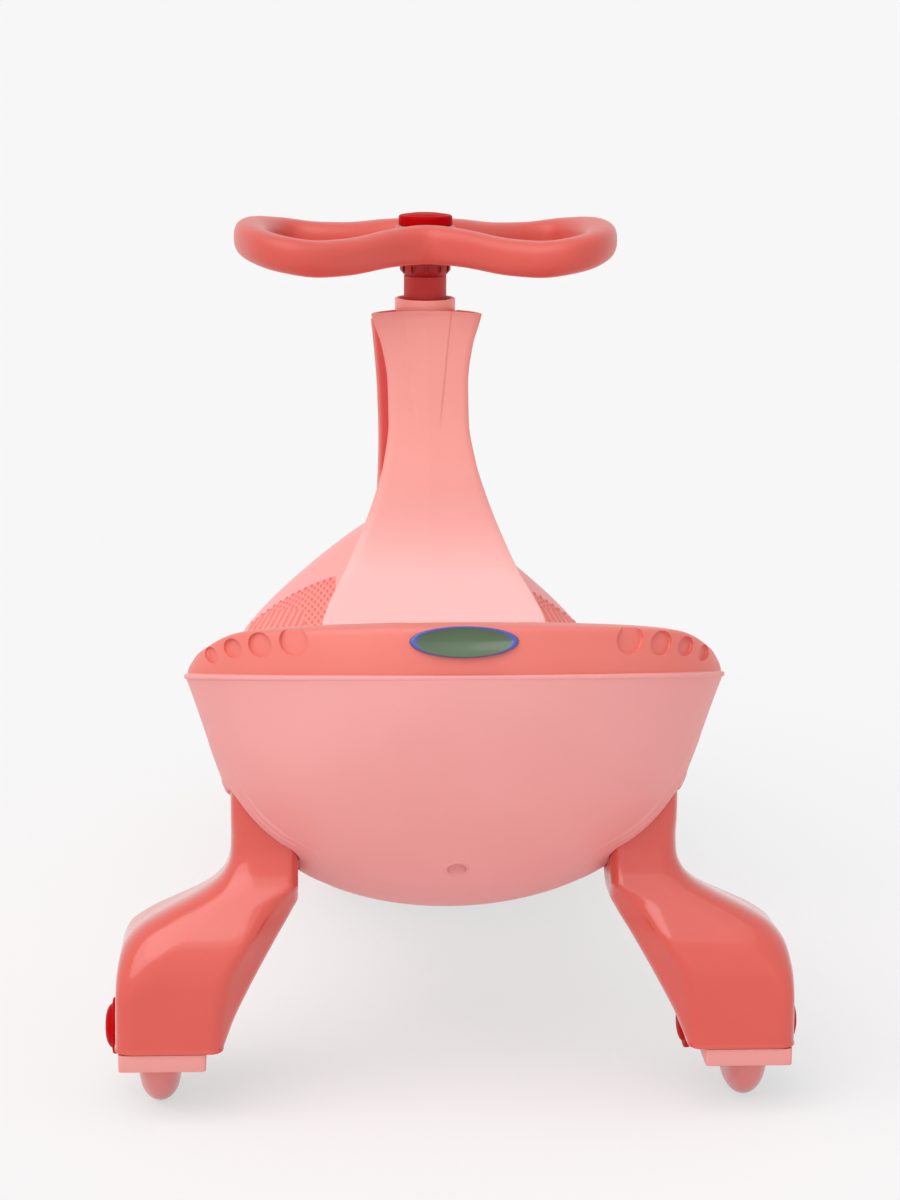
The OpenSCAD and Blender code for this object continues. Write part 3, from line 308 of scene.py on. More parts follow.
def leg_outline(z, grow=0):
    # Outline of the right leg at a height, with the slanted inner corners that its mould leaves
    out = smooth_curve(leg_out_keys, z) + grow
    fore_out = smooth_curve(leg_out_keys, z + leg_roof_fall) + grow
    inner = smooth_curve(leg_in_keys, z) - grow
    facet = max(smooth_curve(facet_keys, z), inner + 2) - grow
    back = axle_y - smooth_curve(leg_back_keys, z) - grow
    fore = axle_y + smooth_curve(leg_fore_keys, z) + grow
    depth = smooth_curve(facet_depth_keys, z)
    bulge = ease((z - shoulder_low_z) / shoulder_low_fade) * ease((shoulder_top_z - z) / shoulder_top_fade)
    outer_trim = mix(foot_corner, shoulder_corner, bulge) + grow / 2
    facet_trim = mix(facet_corner, tube_facet_corner, ease((z - tube_low_z) / tube_fade)) + grow / 2
    inner_trim = inner_corner + grow / 3
    return rounded([(out, back, outer_trim), (fore_out, fore, outer_trim), (facet, fore, facet_trim),
                    (inner, fore - depth, inner_trim), (inner, back + depth, inner_trim),
                    (facet, back, facet_trim)])


lower_hull = moulding("lower_hull_shell", 128, 190, hull_place, (0, 0, 140))

# The shell is open where the legs go in: its faces inside the sleeve's outline come off
sleeve_x = [point.x for point in leg_outline(sleeve_z)]
sleeve_y = [point.y for point in leg_outline(sleeve_z)]
sleeve_slack = 4
for face in lower_hull.data.polygons:
    x = abs(face.center.x) / MM
    y = face.center.y / MM
    low_enough = face.center.z / MM < hull_under(x, y) + sleeve_slack
    face.select = min(sleeve_x) < x < max(sleeve_x) and min(sleeve_y) < y < max(sleeve_y) and low_enough
for part in (*lower_hull.data.edges, *lower_hull.data.vertices):
    part.select = False
choose(lower_hull)
bpy.context.tool_settings.mesh_select_mode = (False, False, True)
bpy.ops.object.mode_set(mode="EDIT")
bpy.ops.mesh.delete(type="FACE")
bpy.ops.object.mode_set(mode="OBJECT")
bpy.context.tool_settings.mesh_select_mode = (True, False, False)
apply_modifier(lower_hull, "SOLIDIFY", thickness=shell_wall * MM, offset=-1)

# Rolled bead that runs round the whole rim
bead_half = 0.7
bead_rise = 1.2
bead_inset = 0.45
bead_lift = 0.2
bead_step = 0.0005


def rim_point(u):
    y = mix(rear_y, nose_y, (1 - math.cos(2 * math.pi * u)) / 2)
    side = 1 if math.sin(2 * math.pi * u) >= 0 else -1
    return Vector((side * half_width(y), y, rim_z(y)))


def bead_place(u, v):
    along = rim_point(u + bead_step) - rim_point(u - bead_step)
    out = Vector((along.y, -along.x, 0)).normalized()
    angle = 2 * math.pi * v
    rise = bead_rise * (math.sin(angle) - 1) + bead_lift
    return rim_point(u) + out * (bead_half * math.cos(angle) - bead_inset) + Vector((0, 0, rise))


rim_bead = moulding("hull_rim_bead", 360, 14, bead_place)

# Lips of the sleeves: three rounded ridges behind each leg, flush with the hull on its inner side
lip_rows = [(0.6, -3.0), (0.6, 0.4), (1.0, 0.9), (1.8, 1.1), (3.2, 1.0), (4.2, 0.4), (5.0, 0.4), (5.6, 1.2),
            (6.2, 1.6), (6.8, 1.2), (7.4, 0.3), (8.2, 0.3), (8.8, 1.0), (9.4, 1.3), (10.0, 0.9),
            (10.8, 0.1), (11.6, -0.4)]
lip_flush = 0.2
lip_edge = 4.5
lip_inner_x = tube_in + 9
lip_inner_fade = 8
lip_outer_x = 94
lip_outer_fade = 14


def lip_ring(grow, lift, side):
    ring = []
    for x, y in leg_outline(sleeve_z, grow):
        reach = 0.5
        slope_x = (hull_under(x + reach, y) - hull_under(x - reach, y)) / (2 * reach)
        slope_y = (hull_under(x, y + reach) - hull_under(x, y - reach)) / (2 * reach)
        away = Vector((slope_x, slope_y, -1)).normalized()
        outer = ease((x - tube_in) / (tube_out - tube_in))
        way = away.lerp(Vector((0, 0, -1)), 1 - outer).normalized()
        flush = ease((lip_inner_x - x) / lip_inner_fade)
        if grow > lip_edge:
            flush = max(flush, ease((x - lip_outer_x) / lip_outer_fade))
        rise = mix(lift, min(lift, lip_flush), flush)
        place = Vector((x, y, hull_under(x, y))) + way * rise
        ring.append(Vector((side * place.x, place.y, place.z)))
    return ring


leg_lips = []
for side in (-1, 1):
    middle = (side * (tube_in + tube_out) / 2, axle_y + 10, 260)
    leg_lips.append(loft("leg_sleeve_lip", [lip_ring(grow, lift, side) for grow, lift in lip_rows], middle))
leg_lip = merge("leg_sleeve_lips", leg_lips)

# Round screw recesses in the underside, each with a small raised lip
screw_recess_r = 4.7
post_places = [(-42, axle_y + 75), (42, axle_y + 75), (0, axle_y - 30), (-52, column_y - 105),
               (52, column_y - 105), (0, nose_y - 90)]
recess_rows = [(3.0, 10), (screw_recess_r, 10), (screw_recess_r, 0.6), (4.8, -0.3), (5.2, -0.7),
               (5.7, -0.6), (6.1, 0.2), (6.3, 1.0)]
recess_points = 40
recess_cups = []
for x, y in post_places:
    skin_z = hull_under(x, y)
    cut(lower_hull, rod(screw_recess_r + 0.3, (x, y, skin_z - 20), (x, y, skin_z + 8), recess_points))
    rings = []
    for radius, rise in recess_rows:
        ring = []
        for n in range(recess_points):
            angle = 2 * math.pi * n / recess_points
            px = x + radius * math.cos(angle)
            py = y + radius * math.sin(angle)
            ring.append(Vector((px, py, hull_under(px, py) + rise)))
        rings.append(ring)
    recess_cups.append(loft("screw_recess", rings, (x, y, skin_z + 60)))
screw_recess = merge("screw_recesses", recess_cups)


def paint(red, green, blue):
    # Colour as the eye sees it, 0 to 255, turned to the linear values that shaders take
    values = []
    for level in (red, green, blue):
        level = level / 255
        values.append(level / 12.92 if level <= 0.04045 else ((level + 0.055) / 1.055) ** 2.4)
    return (*values, 1)


def add_node(tree, kind, values=None, **settings):
    # New node with its settings, and with constants on its inputs
    node = tree.nodes.new("ShaderNode" + kind)
    for key, value in settings.items():
        setattr(node, key, value)
    for key, value in (values or {}).items():
        node.inputs[key].default_value = value
    return node


# Shared look of moulded plastic: slow drifts of colour, cloudy gloss and a fine grain
moulded_skin = bpy.data.node_groups.new("Moulded skin", "ShaderNodeTree")
skin_sockets = [("INPUT", "Colour", "Color"), ("INPUT", "Shade", "Color"), ("INPUT", "Gloss", "Float"),
                ("INPUT", "Grain size", "Float"), ("OUTPUT", "Colour", "Color"),
                ("OUTPUT", "Roughness", "Float"), ("OUTPUT", "Height", "Float")]
for way, socket, kind in skin_sockets:
    moulded_skin.interface.new_socket(socket, in_out=way, socket_type="NodeSocket" + kind)
skin_in = moulded_skin.nodes.new("NodeGroupInput")
skin_out = moulded_skin.nodes.new("NodeGroupOutput")
skin_place = add_node(moulded_skin, "TexCoord")
skin_cloud = add_node(moulded_skin, "TexNoise", {"Scale": 11, "Detail": 3})
skin_haze = add_node(moulded_skin, "TexNoise", {"Scale": 70, "Detail": 4})
skin_grain = add_node(moulded_skin, "TexNoise", {"Detail": 2})
skin_mix = add_node(moulded_skin, "Mix", data_type="RGBA")
skin_spread = add_node(moulded_skin, "MapRange", {"From Min": 0.3, "From Max": 0.7})
skin_rough = add_node(moulded_skin, "Math", {1: 0.12}, operation="MULTIPLY_ADD")
for noise in (skin_cloud, skin_haze, skin_grain):
    moulded_skin.links.new(skin_place.outputs["Object"], noise.inputs["Vector"])
for source, target in ((skin_in.outputs["Grain size"], skin_grain.inputs["Scale"]),
                       (skin_cloud.outputs["Fac"], skin_spread.inputs["Value"]),
                       (skin_spread.outputs["Result"], skin_mix.inputs["Factor"]),
                       (skin_in.outputs["Colour"], skin_mix.inputs["A"]),
                       (skin_in.outputs["Shade"], skin_mix.inputs["B"]),
                       (skin_haze.outputs["Fac"], skin_rough.inputs[0]),
                       (skin_in.outputs["Gloss"], skin_rough.inputs[2]),
                       (skin_mix.outputs["Result"], skin_out.inputs["Colour"]),
                       (skin_rough.outputs[0], skin_out.inputs["Roughness"]),
                       (skin_grain.outputs["Fac"], skin_out.inputs["Height"])):
    moulded_skin.links.new(source, target)


def plastic(name, colour, shade, roughness, grain=0.0, grain_size=1500, coat=0.0):
    # Moulded plastic; grain is the strength of its fine bumps
    material = bpy.data.materials.new(name)
    material.use_nodes = True
    tree = material.node_tree
    shader = tree.nodes["Principled BSDF"]
    values = {"Colour": paint(*colour), "Shade": paint(*shade), "Gloss": roughness - 0.06,
              "Grain size": grain_size}
    skin = add_node(tree, "Group", values, node_tree=moulded_skin)
    bump = add_node(tree, "Bump", {"Strength": grain, "Distance": 0.3 * MM})
    tree.links.new(skin.outputs["Colour"], shader.inputs["Base Color"])
    tree.links.new(skin.outputs["Roughness"], shader.inputs["Roughness"])
    tree.links.new(skin.outputs["Height"], bump.inputs["Height"])
    tree.links.new(bump.outputs["Normal"], shader.inputs["Normal"])
    shader.inputs["Coat Weight"].default_value = coat
    shader.inputs["Coat Roughness"].default_value = 0.08
    return material


def second_tone(material, factor, colour, shade):
    # Mixes another colour and shade into a plastic, by a factor from its other nodes
    tree = material.node_tree
    skin = next(node for node in tree.nodes if node.type == "GROUP")
    for socket, tone in (("Colour", colour), ("Shade", shade)):
        values = {"A": skin.inputs[socket].default_value, "B": paint(*tone)}
        tone_mix = add_node(tree, "Mix", values, data_type="RGBA")
        for link in skin.inputs[socket].links:
            tree.links.new(link.from_socket, tone_mix.inputs["A"])
        tree.links.new(factor, tone_mix.inputs["Factor"])
        tree.links.new(tone_mix.outputs["Result"], skin.inputs[socket])


def mesh_mark(material, name):
    # Value that the mesh of the piece itself carries
    return add_node(material.node_tree, "Attribute", attribute_name=name).outputs["Fac"]


def fit(piece, material, slot, body, *nodes):
    # Gives a finished piece its material, the body it rides on and the nodes it stands for
    piece.data.materials.clear()
    piece.data.materials.append(material)
    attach(piece, body)
    if nodes:
        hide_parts(*nodes)


body_pink = plastic("body pink", (237, 167, 164), (234, 161, 158), 0.48, 0.12)
smooth_to(lower_hull, 40)
fit(lower_hull, body_pink, "body_pink", "chassis", "lower_hull")
for piece in (rim_bead, leg_lip, screw_recess):
    fit(piece, body_pink, "body_pink", "chassis")

# Seat. One coral moulding with a bucket pan and a raised rear lip, screwed to the hull from below.
# The lip's outer face carries four shallow round recesses on each side, from large to small.
seat_front_y = axle_y + 170
seat_edge_y = seat_front_y - 0.15
seat_back_share = 0.82
rim_gap = 0.8
skirt = 1.2
lip_h = 21.5
side_lip_h = 5
pan_z = 186
pan_middle = Vector((0, axle_y + 50))
lip_keys = [(rear_y, lip_h), (axle_y - 45, 0.9 * lip_h), (axle_y - 20, mix(side_lip_h, lip_h, 0.4)),
            (axle_y + 12, side_lip_h), (seat_front_y, side_lip_h)]
pan_in = 14
pan_reach = 1.06
lip_share = 0.35
skirt_fade = 9
lip_inset_keys = [(0, 1.5), (0.2, 2.0), (0.45, 3.1), (0.65, 4.3), (0.8, 5.6), (0.88, 7.0), (0.94, 9.2),
                  (1, pan_in)]
lip_rise_keys = [(0, 0), (0.2, 0.25), (0.45, 0.53), (0.65, 0.75), (0.8, 0.92), (0.88, 0.98), (0.94, 1),
                 (1, 1)]
recess_places = [(82, 13.4, 0.65), (98, 11.2, 0.59), (111, 8.8, 0.54), (121.5, 6.8, 0.49)]
recess_depth = 2.3


def seat_rim(u):
    # Rim of the seat seen from above: round the back, then straight across the front
    if u < seat_back_share:
        turn = 2 * u / seat_back_share - 1
        y = mix(rear_y, seat_edge_y, 1 - math.cos(math.pi / 2 * abs(turn)))
        return Vector((half_width(y) * (1 if turn > 0 else -1), y))
    half = half_width(seat_edge_y)
    return Vector((mix(half, -half, (u - seat_back_share) / (1 - seat_back_share)), seat_edge_y))


def seat_place(u, v):
    edge = seat_rim(u)
    way = pan_middle - edge
    lip = smooth_curve(lip_keys, edge.y)
    base = rim_z(edge.y) + rim_gap
    if v < lip_share:
        t = v / lip_share
        inset = smooth_curve(lip_inset_keys, t)
        z = base + lip * smooth_curve(lip_rise_keys, t) - skirt * max(0, 1 - skirt_fade * t)
    else:
        t = (v - lip_share) / (1 - lip_share)
        inset = pan_in + (way.length - pan_in) * t
        z = mix(base + lip, pan_z, ease(t * pan_reach))
    point = edge + way.normalized() * inset
    return point.x, point.y, z


seat_deck = moulding("seat_moulding", 260, 72, seat_place, (0, axle_y + 50, 60))

# The pan is softened all over, so no crease runs in from the corners of the rim
pan_edge = 16
pan_rounds = 80
for part in (*seat_deck.data.polygons, *seat_deck.data.edges):
    part.select = False
for vertex in seat_deck.data.vertices:
    x, y, z = vertex.co / MM
    inside = abs(x) < half_width(max(rear_y, y - pan_edge)) - pan_edge
    vertex.select = inside and y < seat_front_y - pan_edge
choose(seat_deck)
bpy.ops.object.mode_set(mode="EDIT")
bpy.ops.mesh.vertices_smooth(factor=0.5, repeat=pan_rounds)
bpy.ops.object.mode_set(mode="OBJECT")
apply_modifier(seat_deck, "SOLIDIFY", thickness=shell_wall * MM, offset=-1)


def seat_normal(u, v):
    # Outward direction of the seat's upper face
    across = Vector(seat_place(u + 0.001, v)) - Vector(seat_place(u - 0.001, v))
    up = Vector(seat_place(u, v + 0.002)) - Vector(seat_place(u, v - 0.002))
    return across.cross(up).normalized()


def turned(name, profile, middle, axis, steps=96):
    # Solid of revolution: profile points are radius and place along the axis, from the middle
    bpy.ops.mesh.primitive_circle_add(vertices=len(profile), fill_type="NOTHING")
    piece = bpy.context.active_object
    piece.name = name
    piece.data.name = name
    for vertex, (radius, along) in zip(piece.data.vertices, profile):
        vertex.co = Vector((radius, 0, along)) * MM
    bpy.ops.object.mode_set(mode="EDIT")
    bpy.ops.mesh.select_all(action="SELECT")
    bpy.ops.mesh.spin(steps=steps, angle=2 * math.pi, center=(0, 0, 0), axis=(0, 0, 1))
    bpy.ops.object.mode_set(mode="OBJECT")
    turn = Vector(axis).to_track_quat("Z", "Y").to_matrix().to_4x4()
    piece.data.transform(Matrix.Translation(Vector(middle) * MM) @ turn)
    weld(piece)
    smooth_to(piece, 42)
    return piece


recess_cutters = []
for side in (-1, 1):
    for x, width, rise in recess_places:
        y = axle_y - rear_overhang * round_end(x / seat_half)
        turn = math.acos(1 - (y - rear_y) / (seat_edge_y - rear_y)) * 2 / math.pi
        u = seat_back_share * (1 + side * turn) / 2
        v = lip_share * rise
        normal = seat_normal(u, v)
        r = width / 2
        profile = [(0, -recess_depth), (r - 0.3, -recess_depth), (r - 0.05, -recess_depth + 0.4), (r, -0.2),
                   (r + 0.3, 0.1), (r + 0.4, 8), (0, 8)]
        recess_cutter = turned("recess_cutter", profile, (0, 0, 0), (0, 0, 1), 64)
        across = (1, -normal.x / normal.y, 0)
        up = (0, -normal.z / normal.y, 1)
        lean = Matrix((across, up, normal)).transposed().to_4x4()
        recess_cutter.data.transform(Matrix.Translation(Vector(seat_place(u, v)) * MM) @ lean)
        recess_cutters.append(recess_cutter)
cut(seat_deck, merge("recess_cutters", recess_cutters))
smooth_to(seat_deck, 24)
seat_coral = plastic("seat coral", (232, 125, 114), (228, 118, 106), 0.4, 0.06)
fit(seat_deck, seat_coral, "seat_coral", "chassis", "seat_deck")

# Badge. A thin oval plate of pressed metal, enamelled in two colours and glued to the rear lip.
# A raised blue border frames its plain dark green field.
badge_low, badge_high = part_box("badge_plate")
badge_half_w = (badge_high.x - badge_low.x) / MM / 2
badge_half_h = 7.5
badge_lean = math.radians(23.19)
badge_inset = 4.5
badge_rise = 0.66
badge_border = 0.865
badge_z = rim_z(rear_y) + rim_gap + badge_rise * lip_h
badge_profile = [(0, 1.9), (0.86, 1.9), (0.89, 2.2), (0.95, 2.3), (0.985, 2.1), (1, 1.6), (1, 0.4)]


def badge_place(u, v):
    angle = 2 * math.pi * u
    radius, height = badge_profile[round(v * (len(badge_profile) - 1))]
    x = badge_half_w * radius * math.cos(angle)
    slope = badge_half_h * radius * math.sin(angle)
    y = axle_y - rear_overhang * round_end(x / seat_half) + badge_inset
    y += slope * math.sin(badge_lean) - height * math.cos(badge_lean)
    return x, y, badge_z + slope * math.cos(badge_lean) + height * math.sin(badge_lean)


badge_plate = moulding("badge_oval", 96, len(badge_profile) - 1, badge_place, (0, rear_y + 60, badge_z))
badge_blue = plastic("badge blue", (70, 84, 164), (62, 74, 150), 0.28, coat=0.3)
badge_field = plastic("badge field", (74, 100, 66), (62, 86, 56), 0.3, coat=0.3)
fit(badge_plate, badge_field, "badge_enamel", "chassis", "badge_plate")
badge_plate.data.materials.append(badge_blue)
for face in badge_plate.data.polygons:
    across = (face.center.x / MM / badge_half_w) ** 2
    up = ((face.center.z / MM - badge_z) / math.cos(badge_lean) / badge_half_h) ** 2
    reach = math.sqrt(across + up)
    face.material_index = 1 if reach > badge_border else 0

# Footrest deck. A pale pink moulding with two foot wells and a raised prow, on the hull's front rim.
# It is screwed to posts inside the hull, and the neck stands on its middle.
floor_z = 105
crest_y = column_y + 148
crest_z = 210
slope_y = crest_y - 90
deck_lip_h = 5
ridge_round = 0.03
ridge_power = 0.6
ridge_low = 0.122
ridge_span = 0.896
crown_share = 0.1
crown_power = 8
well_edge = 6
well_fall = 18
deck_fold = 0.9
deck_shoulder = 0.93
deck_side_keys = [(0, deck_shoulder), (0.33, 0.95), (0.66, 0.972), (1, 0.985)]
deck_floor_keys = [(seat_front_y, 183), (seat_front_y + 30, 168), (column_y - 97, floor_z + 31),
                   (column_y - 47, floor_z + 6), (column_y, floor_z), (nose_y, floor_z)]


def deck_z(x, y):
    low = rim_z(y) + deck_lip_h
    share = min(1, abs(x) / max(1, half_width(y)))
    fore = round_end((y - crest_y) / (nose_y - crest_y)) if y > crest_y else 1
    ridge = ((share * share + ridge_round) ** ridge_power - ridge_low) / ridge_span
    crown = (1 - crown_share) * (1 - ridge) + crown_share * (1 - share ** crown_power)
    prow = low + (crest_z - low) * crown * fore
    sunk = ease((half_width(y) - well_edge - abs(x)) / well_fall)
    well = mix(low, smooth_curve(deck_floor_keys, y), sunk)
    return mix(well, prow, ease((y - slope_y) / (crest_y - slope_y)))


def deck_place(u, v):
    across = 2 * u - 1
    side = 1 if across > 0 else -1
    y = mix(seat_front_y + 0.15, nose_y, math.sin(math.pi / 2 * v))
    w = half_width(y)
    if abs(across) < deck_fold:
        x = deck_shoulder * w * math.sin(math.pi / 2 * abs(across) / deck_fold)
        return side * x, y, deck_z(x, y)
    t = (abs(across) - deck_fold) / (1 - deck_fold)
    low = rim_z(y) + rim_gap
    edge = smooth_curve([(0, deck_z(deck_shoulder * w, y)), (0.33, low + deck_lip_h), (0.66, low + 3.5),
                         (1, low - skirt)], t)
    return side * smooth_curve(deck_side_keys, t) * w, y, edge


front_deck = moulding("front_deck_moulding", 150, 170, deck_place, (0, column_y, 0))
apply_modifier(front_deck, "SOLIDIFY", thickness=shell_wall * MM, offset=-1)

# The inner wall at the very tip of the nose comes out on the wrong side and is set back
for vertex in front_deck.data.vertices:
    if vertex.co.y > nose_y * MM:
        vertex.co.y = (nose_y - shell_wall) * MM
deck_pink = plastic("deck pink", (245, 172, 168), (242, 166, 162), 0.48, 0.12)
fit(front_deck, deck_pink, "body_pink", "chassis", "front_deck")

# Foot pads. Thin pink mats set into the wells' floors and up the slope of the prow.
# Rows of small domes keep a shoe from slipping, and slanted ribs fill the low outer corner.
pad_low, pad_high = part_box("right_foot_pad")
pad_back_y = pad_low.y / MM
pad_fore_y = pad_high.y / MM - 4.8
pad_fore_slope = 0.2
pad_slope_x = 46
pad_inner = 0.422
pad_outer = 0.9
pad_t = 0.5
dome_pitch = 3.9
dome_row = 1.8
dome_r = 0.9
dome_h = 1.2
rib_pitch = 5.2
rib_lean = 0.79
rib_x = 69
rib_y = column_y + 65
rib_end_x = 95
rib_run = 25
rib_drop = 10
rib_start = 3
rib_share = 0.8
rib_power = 0.7
first_row_size = 1.2
pad_rim = 1.2
pad_lift = 0.1
pad_coral = plastic("pad coral", (243, 152, 144), (240, 146, 138), 0.5, 0.1)
# Painted shade: the domes are painted a deeper coral by their height, standing in for their shading
second_tone(pad_coral, mesh_mark(pad_coral, "dome"), (228, 112, 102), (224, 106, 96))


def pad_bump(x, y, from_fore):
    # Height of the domes or ribs at a point
    if x > rib_x and from_fore > rib_drop * (rib_end_x - x) / rib_run + rib_start and y > rib_y:
        wave = math.cos(2 * math.pi * (x + rib_lean * y) / rib_pitch)
        return rib_share * dome_h * max(0, wave) ** rib_power
    row = round(from_fore / dome_row)
    shift = 0.5 * dome_pitch * (row % 2)
    column = round((x - shift) / dome_pitch)
    away = math.hypot(x - shift - column * dome_pitch, from_fore - row * dome_row)
    size = first_row_size if row == 1 else 1
    return size * dome_h * round_end(min(1, away / (size * dome_r)))


for side, node in ((-1, "left_foot_pad"), (1, "right_foot_pad")):
    def pad_place(u, v):
        share = mix(pad_inner, pad_outer, u)
        fore = pad_fore_y + pad_fore_slope * (share * front_half - pad_slope_x)
        y = mix(pad_back_y, fore, v)
        x = share * half_width(y)
        edge = min(u, 1 - u) * (pad_outer - pad_inner) * half_width(y)
        edge = min(edge, y - pad_back_y, fore - y)
        bump = pad_bump(x, y, fore - y) if edge > pad_rim else 0
        return side * x, y, deck_z(x, y) + pad_lift + pad_t * ease(edge) + bump

    foot_pad = moulding(node + "_mat", 170, 400, pad_place, (0, column_y, 0))
    # Painted shade on the domes, stronger the higher they rise
    dome_painted_shade = foot_pad.data.attributes.new("dome", "FLOAT", "POINT")
    for n, vertex in enumerate(foot_pad.data.vertices):
        x, y, z = vertex.co / MM
        dome_painted_shade.data[n].value = min(1, max(0, (z - deck_z(x, y) - pad_lift - pad_t) / dome_h))
    fit(foot_pad, pad_coral, "seat_coral", "chassis", node)

# Neck. A hollow pale pink moulding that carries the steering column; its cape runs back to the seat.
# Deep channels part the cape from the front flange, and its top flares to two horns.
# Its back has a low raised panel.
neck_top_z = 353
neck_crown = 3.2
neck_back_keys = [(floor_z, -98), (185, -86), (196, -70), (220, -33), (269, -10), (297, 11), (353, 44)]
neck_front_keys = [(floor_z, 275), (196, 190), (220, 150), (269, 110), (297, 102), (353, 92)]
neck_back_w_keys = [(floor_z, 73.1), (196, 61.7), (220, 48.2), (235, 41), (257, 32), (277, 25.8),
                    (297, 22.8), (317, 23), (338, 26.4), (347, 29.6), (356, 32.6)]
neck_front_w_keys = [(floor_z, 34), (220, 26), (266, 25.5), (301, 26.6), (318, 27.8), (336, 29.6),
                     (353, 31.5)]
neck_side_w_keys = [(floor_z, 36), (220, 22), (260, 15), (297, 13), (338, 15), (353, 19)]
neck_edge_r = 0.8
horn_drop = 7
horn_back_drop = 2
horn_half = 32
crown_back = 16
crown_run = 30
neck_wall_share = 0.86
neck_edge_share = 0.4
neck_hole_r = 15
panel_h = 0.7
panel_edge = 0.4
panel_top_half = 13.8
panel_low_half = 6.6
panel_len = 56
panel_low_z = 290
panel_fade = 18


def neck_point(share, z):
    # Point of half the neck's outline, from the middle of its back to the middle of its front
    back = smooth_curve(neck_back_keys, z)
    front = smooth_curve(neck_front_keys, z)
    bw = smooth_curve(neck_back_w_keys, z)
    fw = smooth_curve(neck_front_w_keys, z)
    sw = smooth_curve(neck_side_w_keys, z)
    x = smooth_curve([(0, 0), (0.26, 0.86 * bw), (0.31, bw), (0.35, bw - 2.2), (0.41, sw), (0.58, sw),
                      (0.64, fw - 2.2), (0.68, fw), (0.73, 0.86 * fw), (1, 0)], share)
    y = smooth_curve([(0, back), (0.26, back + 0.8), (0.31, back + 3), (0.35, back + 6), (0.41, back + 11),
                      (0.58, front - 11), (0.64, front - 6), (0.68, front - 3), (0.73, front - 0.8),
                      (1, front)], share)
    panel_half = mix(panel_top_half, panel_low_half, (neck_top_z - z) / panel_len)
    fade = ease((z - panel_low_z) / panel_fade) if share < 0.3 else 0
    return x, y - panel_h * fade * ease((panel_half + panel_edge - x) / (2 * panel_edge))


neck_feet = {}


def neck_foot(share):
    # Height at which that line of the neck's wall meets the deck
    if share not in neck_feet:
        low = floor_z
        high = 240
        for _ in range(16):
            z = (low + high) / 2
            x, y = neck_point(share, z)
            if z < deck_z(x, y):
                low = z
            else:
                high = z
        neck_feet[share] = low
    return neck_feet[share]


def neck_share(u):
    return round(2 * u if u <= 0.5 else 2 - 2 * u, 6)


def neck_place(u, v):
    side = -1 if u <= 0.5 else 1
    share = neck_share(u)
    top_x, top_y = neck_point(share, neck_top_z)
    fore = ease((top_y - column_y + crown_back) / crown_run)
    drop = mix(horn_back_drop, horn_drop, fore) * (abs(top_x) / horn_half) ** 2
    high = neck_top_z + neck_crown * (1 - fore) - drop
    if v < neck_wall_share:
        z = mix(neck_foot(share), high - neck_edge_r, v / neck_wall_share)
        x, y = neck_point(share, z)
        return side * x, y, z
    t = (v - neck_wall_share) / (1 - neck_wall_share)
    turn = math.pi / 2 * min(1, t / neck_edge_share)
    inset = neck_edge_r * (1 - math.cos(turn))
    across = max(0, (t - neck_edge_share) / (1 - neck_edge_share))
    edge_x, edge_y = neck_point(share, high - neck_edge_r)
    point = Vector((side * edge_x, edge_y))
    way = Vector((0, column_y)) - point
    point += way.normalized() * (inset + (way.length - neck_hole_r - inset) * across)
    return point.x, point.y, mix(high - neck_edge_r * (1 - math.sin(turn)), neck_top_z - 0.2, across)


neck_columns = 420
neck = moulding("neck_moulding", neck_columns, 120, neck_place, (0, column_y - 5, 240))
# Painted light: the neck is painted lighter low down, where the floor's bounce lights it, and deeper
# towards the top
neck_pink = plastic("neck pink", (250, 193, 190), (248, 188, 185), 0.46, 0.1)
neck_tree = neck_pink.node_tree
neck_coords = add_node(neck_tree, "TexCoord")
neck_axes = add_node(neck_tree, "SeparateXYZ")
painted_light_heights = {"From Min": 200 * MM, "From Max": 285 * MM}
neck_painted_light = add_node(neck_tree, "MapRange", painted_light_heights, interpolation_type="SMOOTHSTEP")
neck_tree.links.new(neck_coords.outputs["Object"], neck_axes.inputs["Vector"])
neck_tree.links.new(neck_axes.outputs["Z"], neck_painted_light.inputs["Value"])
second_tone(neck_pink, neck_painted_light.outputs["Result"], (234, 153, 145), (231, 147, 138))

# Painted shade: the channels lie in the shade of cape and flange, so their faces are painted a deeper coral
# that stands in for it, marked on the mesh
channel_start = 0.335
channel_stop = 0.665
channel_fade = 0.03
channel_low_z = 215
channel_climb = 45
channel_painted_shade = neck.data.attributes.new("channel", "FLOAT", "FACE")
for n, face in enumerate(neck.data.polygons):
    share = neck_share((n % neck_columns + 0.5) / neck_columns)
    deep = ease((share - channel_start) / channel_fade) * ease((channel_stop - share) / channel_fade)
    channel_painted_shade.data[n].value = deep * ease((face.center.z / MM - channel_low_z) / channel_climb)
# Painted shade in the channels, mixed in by that mark
second_tone(neck_pink, mesh_mark(neck_pink, "channel"), (230, 92, 86), (226, 86, 80))
fit(neck, neck_pink, "body_pink", "chassis", "neck")

# Legs. Glossy coral mouldings that plug up into the hull and spread outwards over the rear wheels.
# A steel bar ties their tops inside the hull; caps cover the bolt heads in round seats.
wheel_x = joint_at["rear_right_wheel_spin"].x
axle_z = joint_at["rear_right_wheel_spin"].z
wheel_well_r = 38.5
wheel_well_half = 12
cap_seat_r = 15
cap_seat_reach = 30
leg_levels = ([leg_foot_z, leg_foot_z, 36.2, 36.6, 37.6, 38.2, 38.8] + [40 + 2 * n for n in range(50)]
              + [144, 150, 160, leg_top_z, leg_top_z])
leg_insets = [None, 1.2, 0.2, -0.3, -0.3, -0.05, 0]
leg_coral = plastic("leg coral", (216, 84, 71), (210, 77, 64), 0.24, coat=0.5)


def level_ring(outline, side, z, closed):
    # Outline at a height, on one side of the car; a closed one has all its points in its middle
    if closed:
        outline = [sum(outline, Vector((0, 0))) / len(outline)] * len(outline)
    return [Vector((side * point.x, point.y, z)) for point in outline]


def cut_across(piece, radius, start_x, end_x):
    # Round cut along the line of the rear axles
    cut(piece, rod(radius, (start_x, axle_y, axle_z), (end_x, axle_y, axle_z), 96))


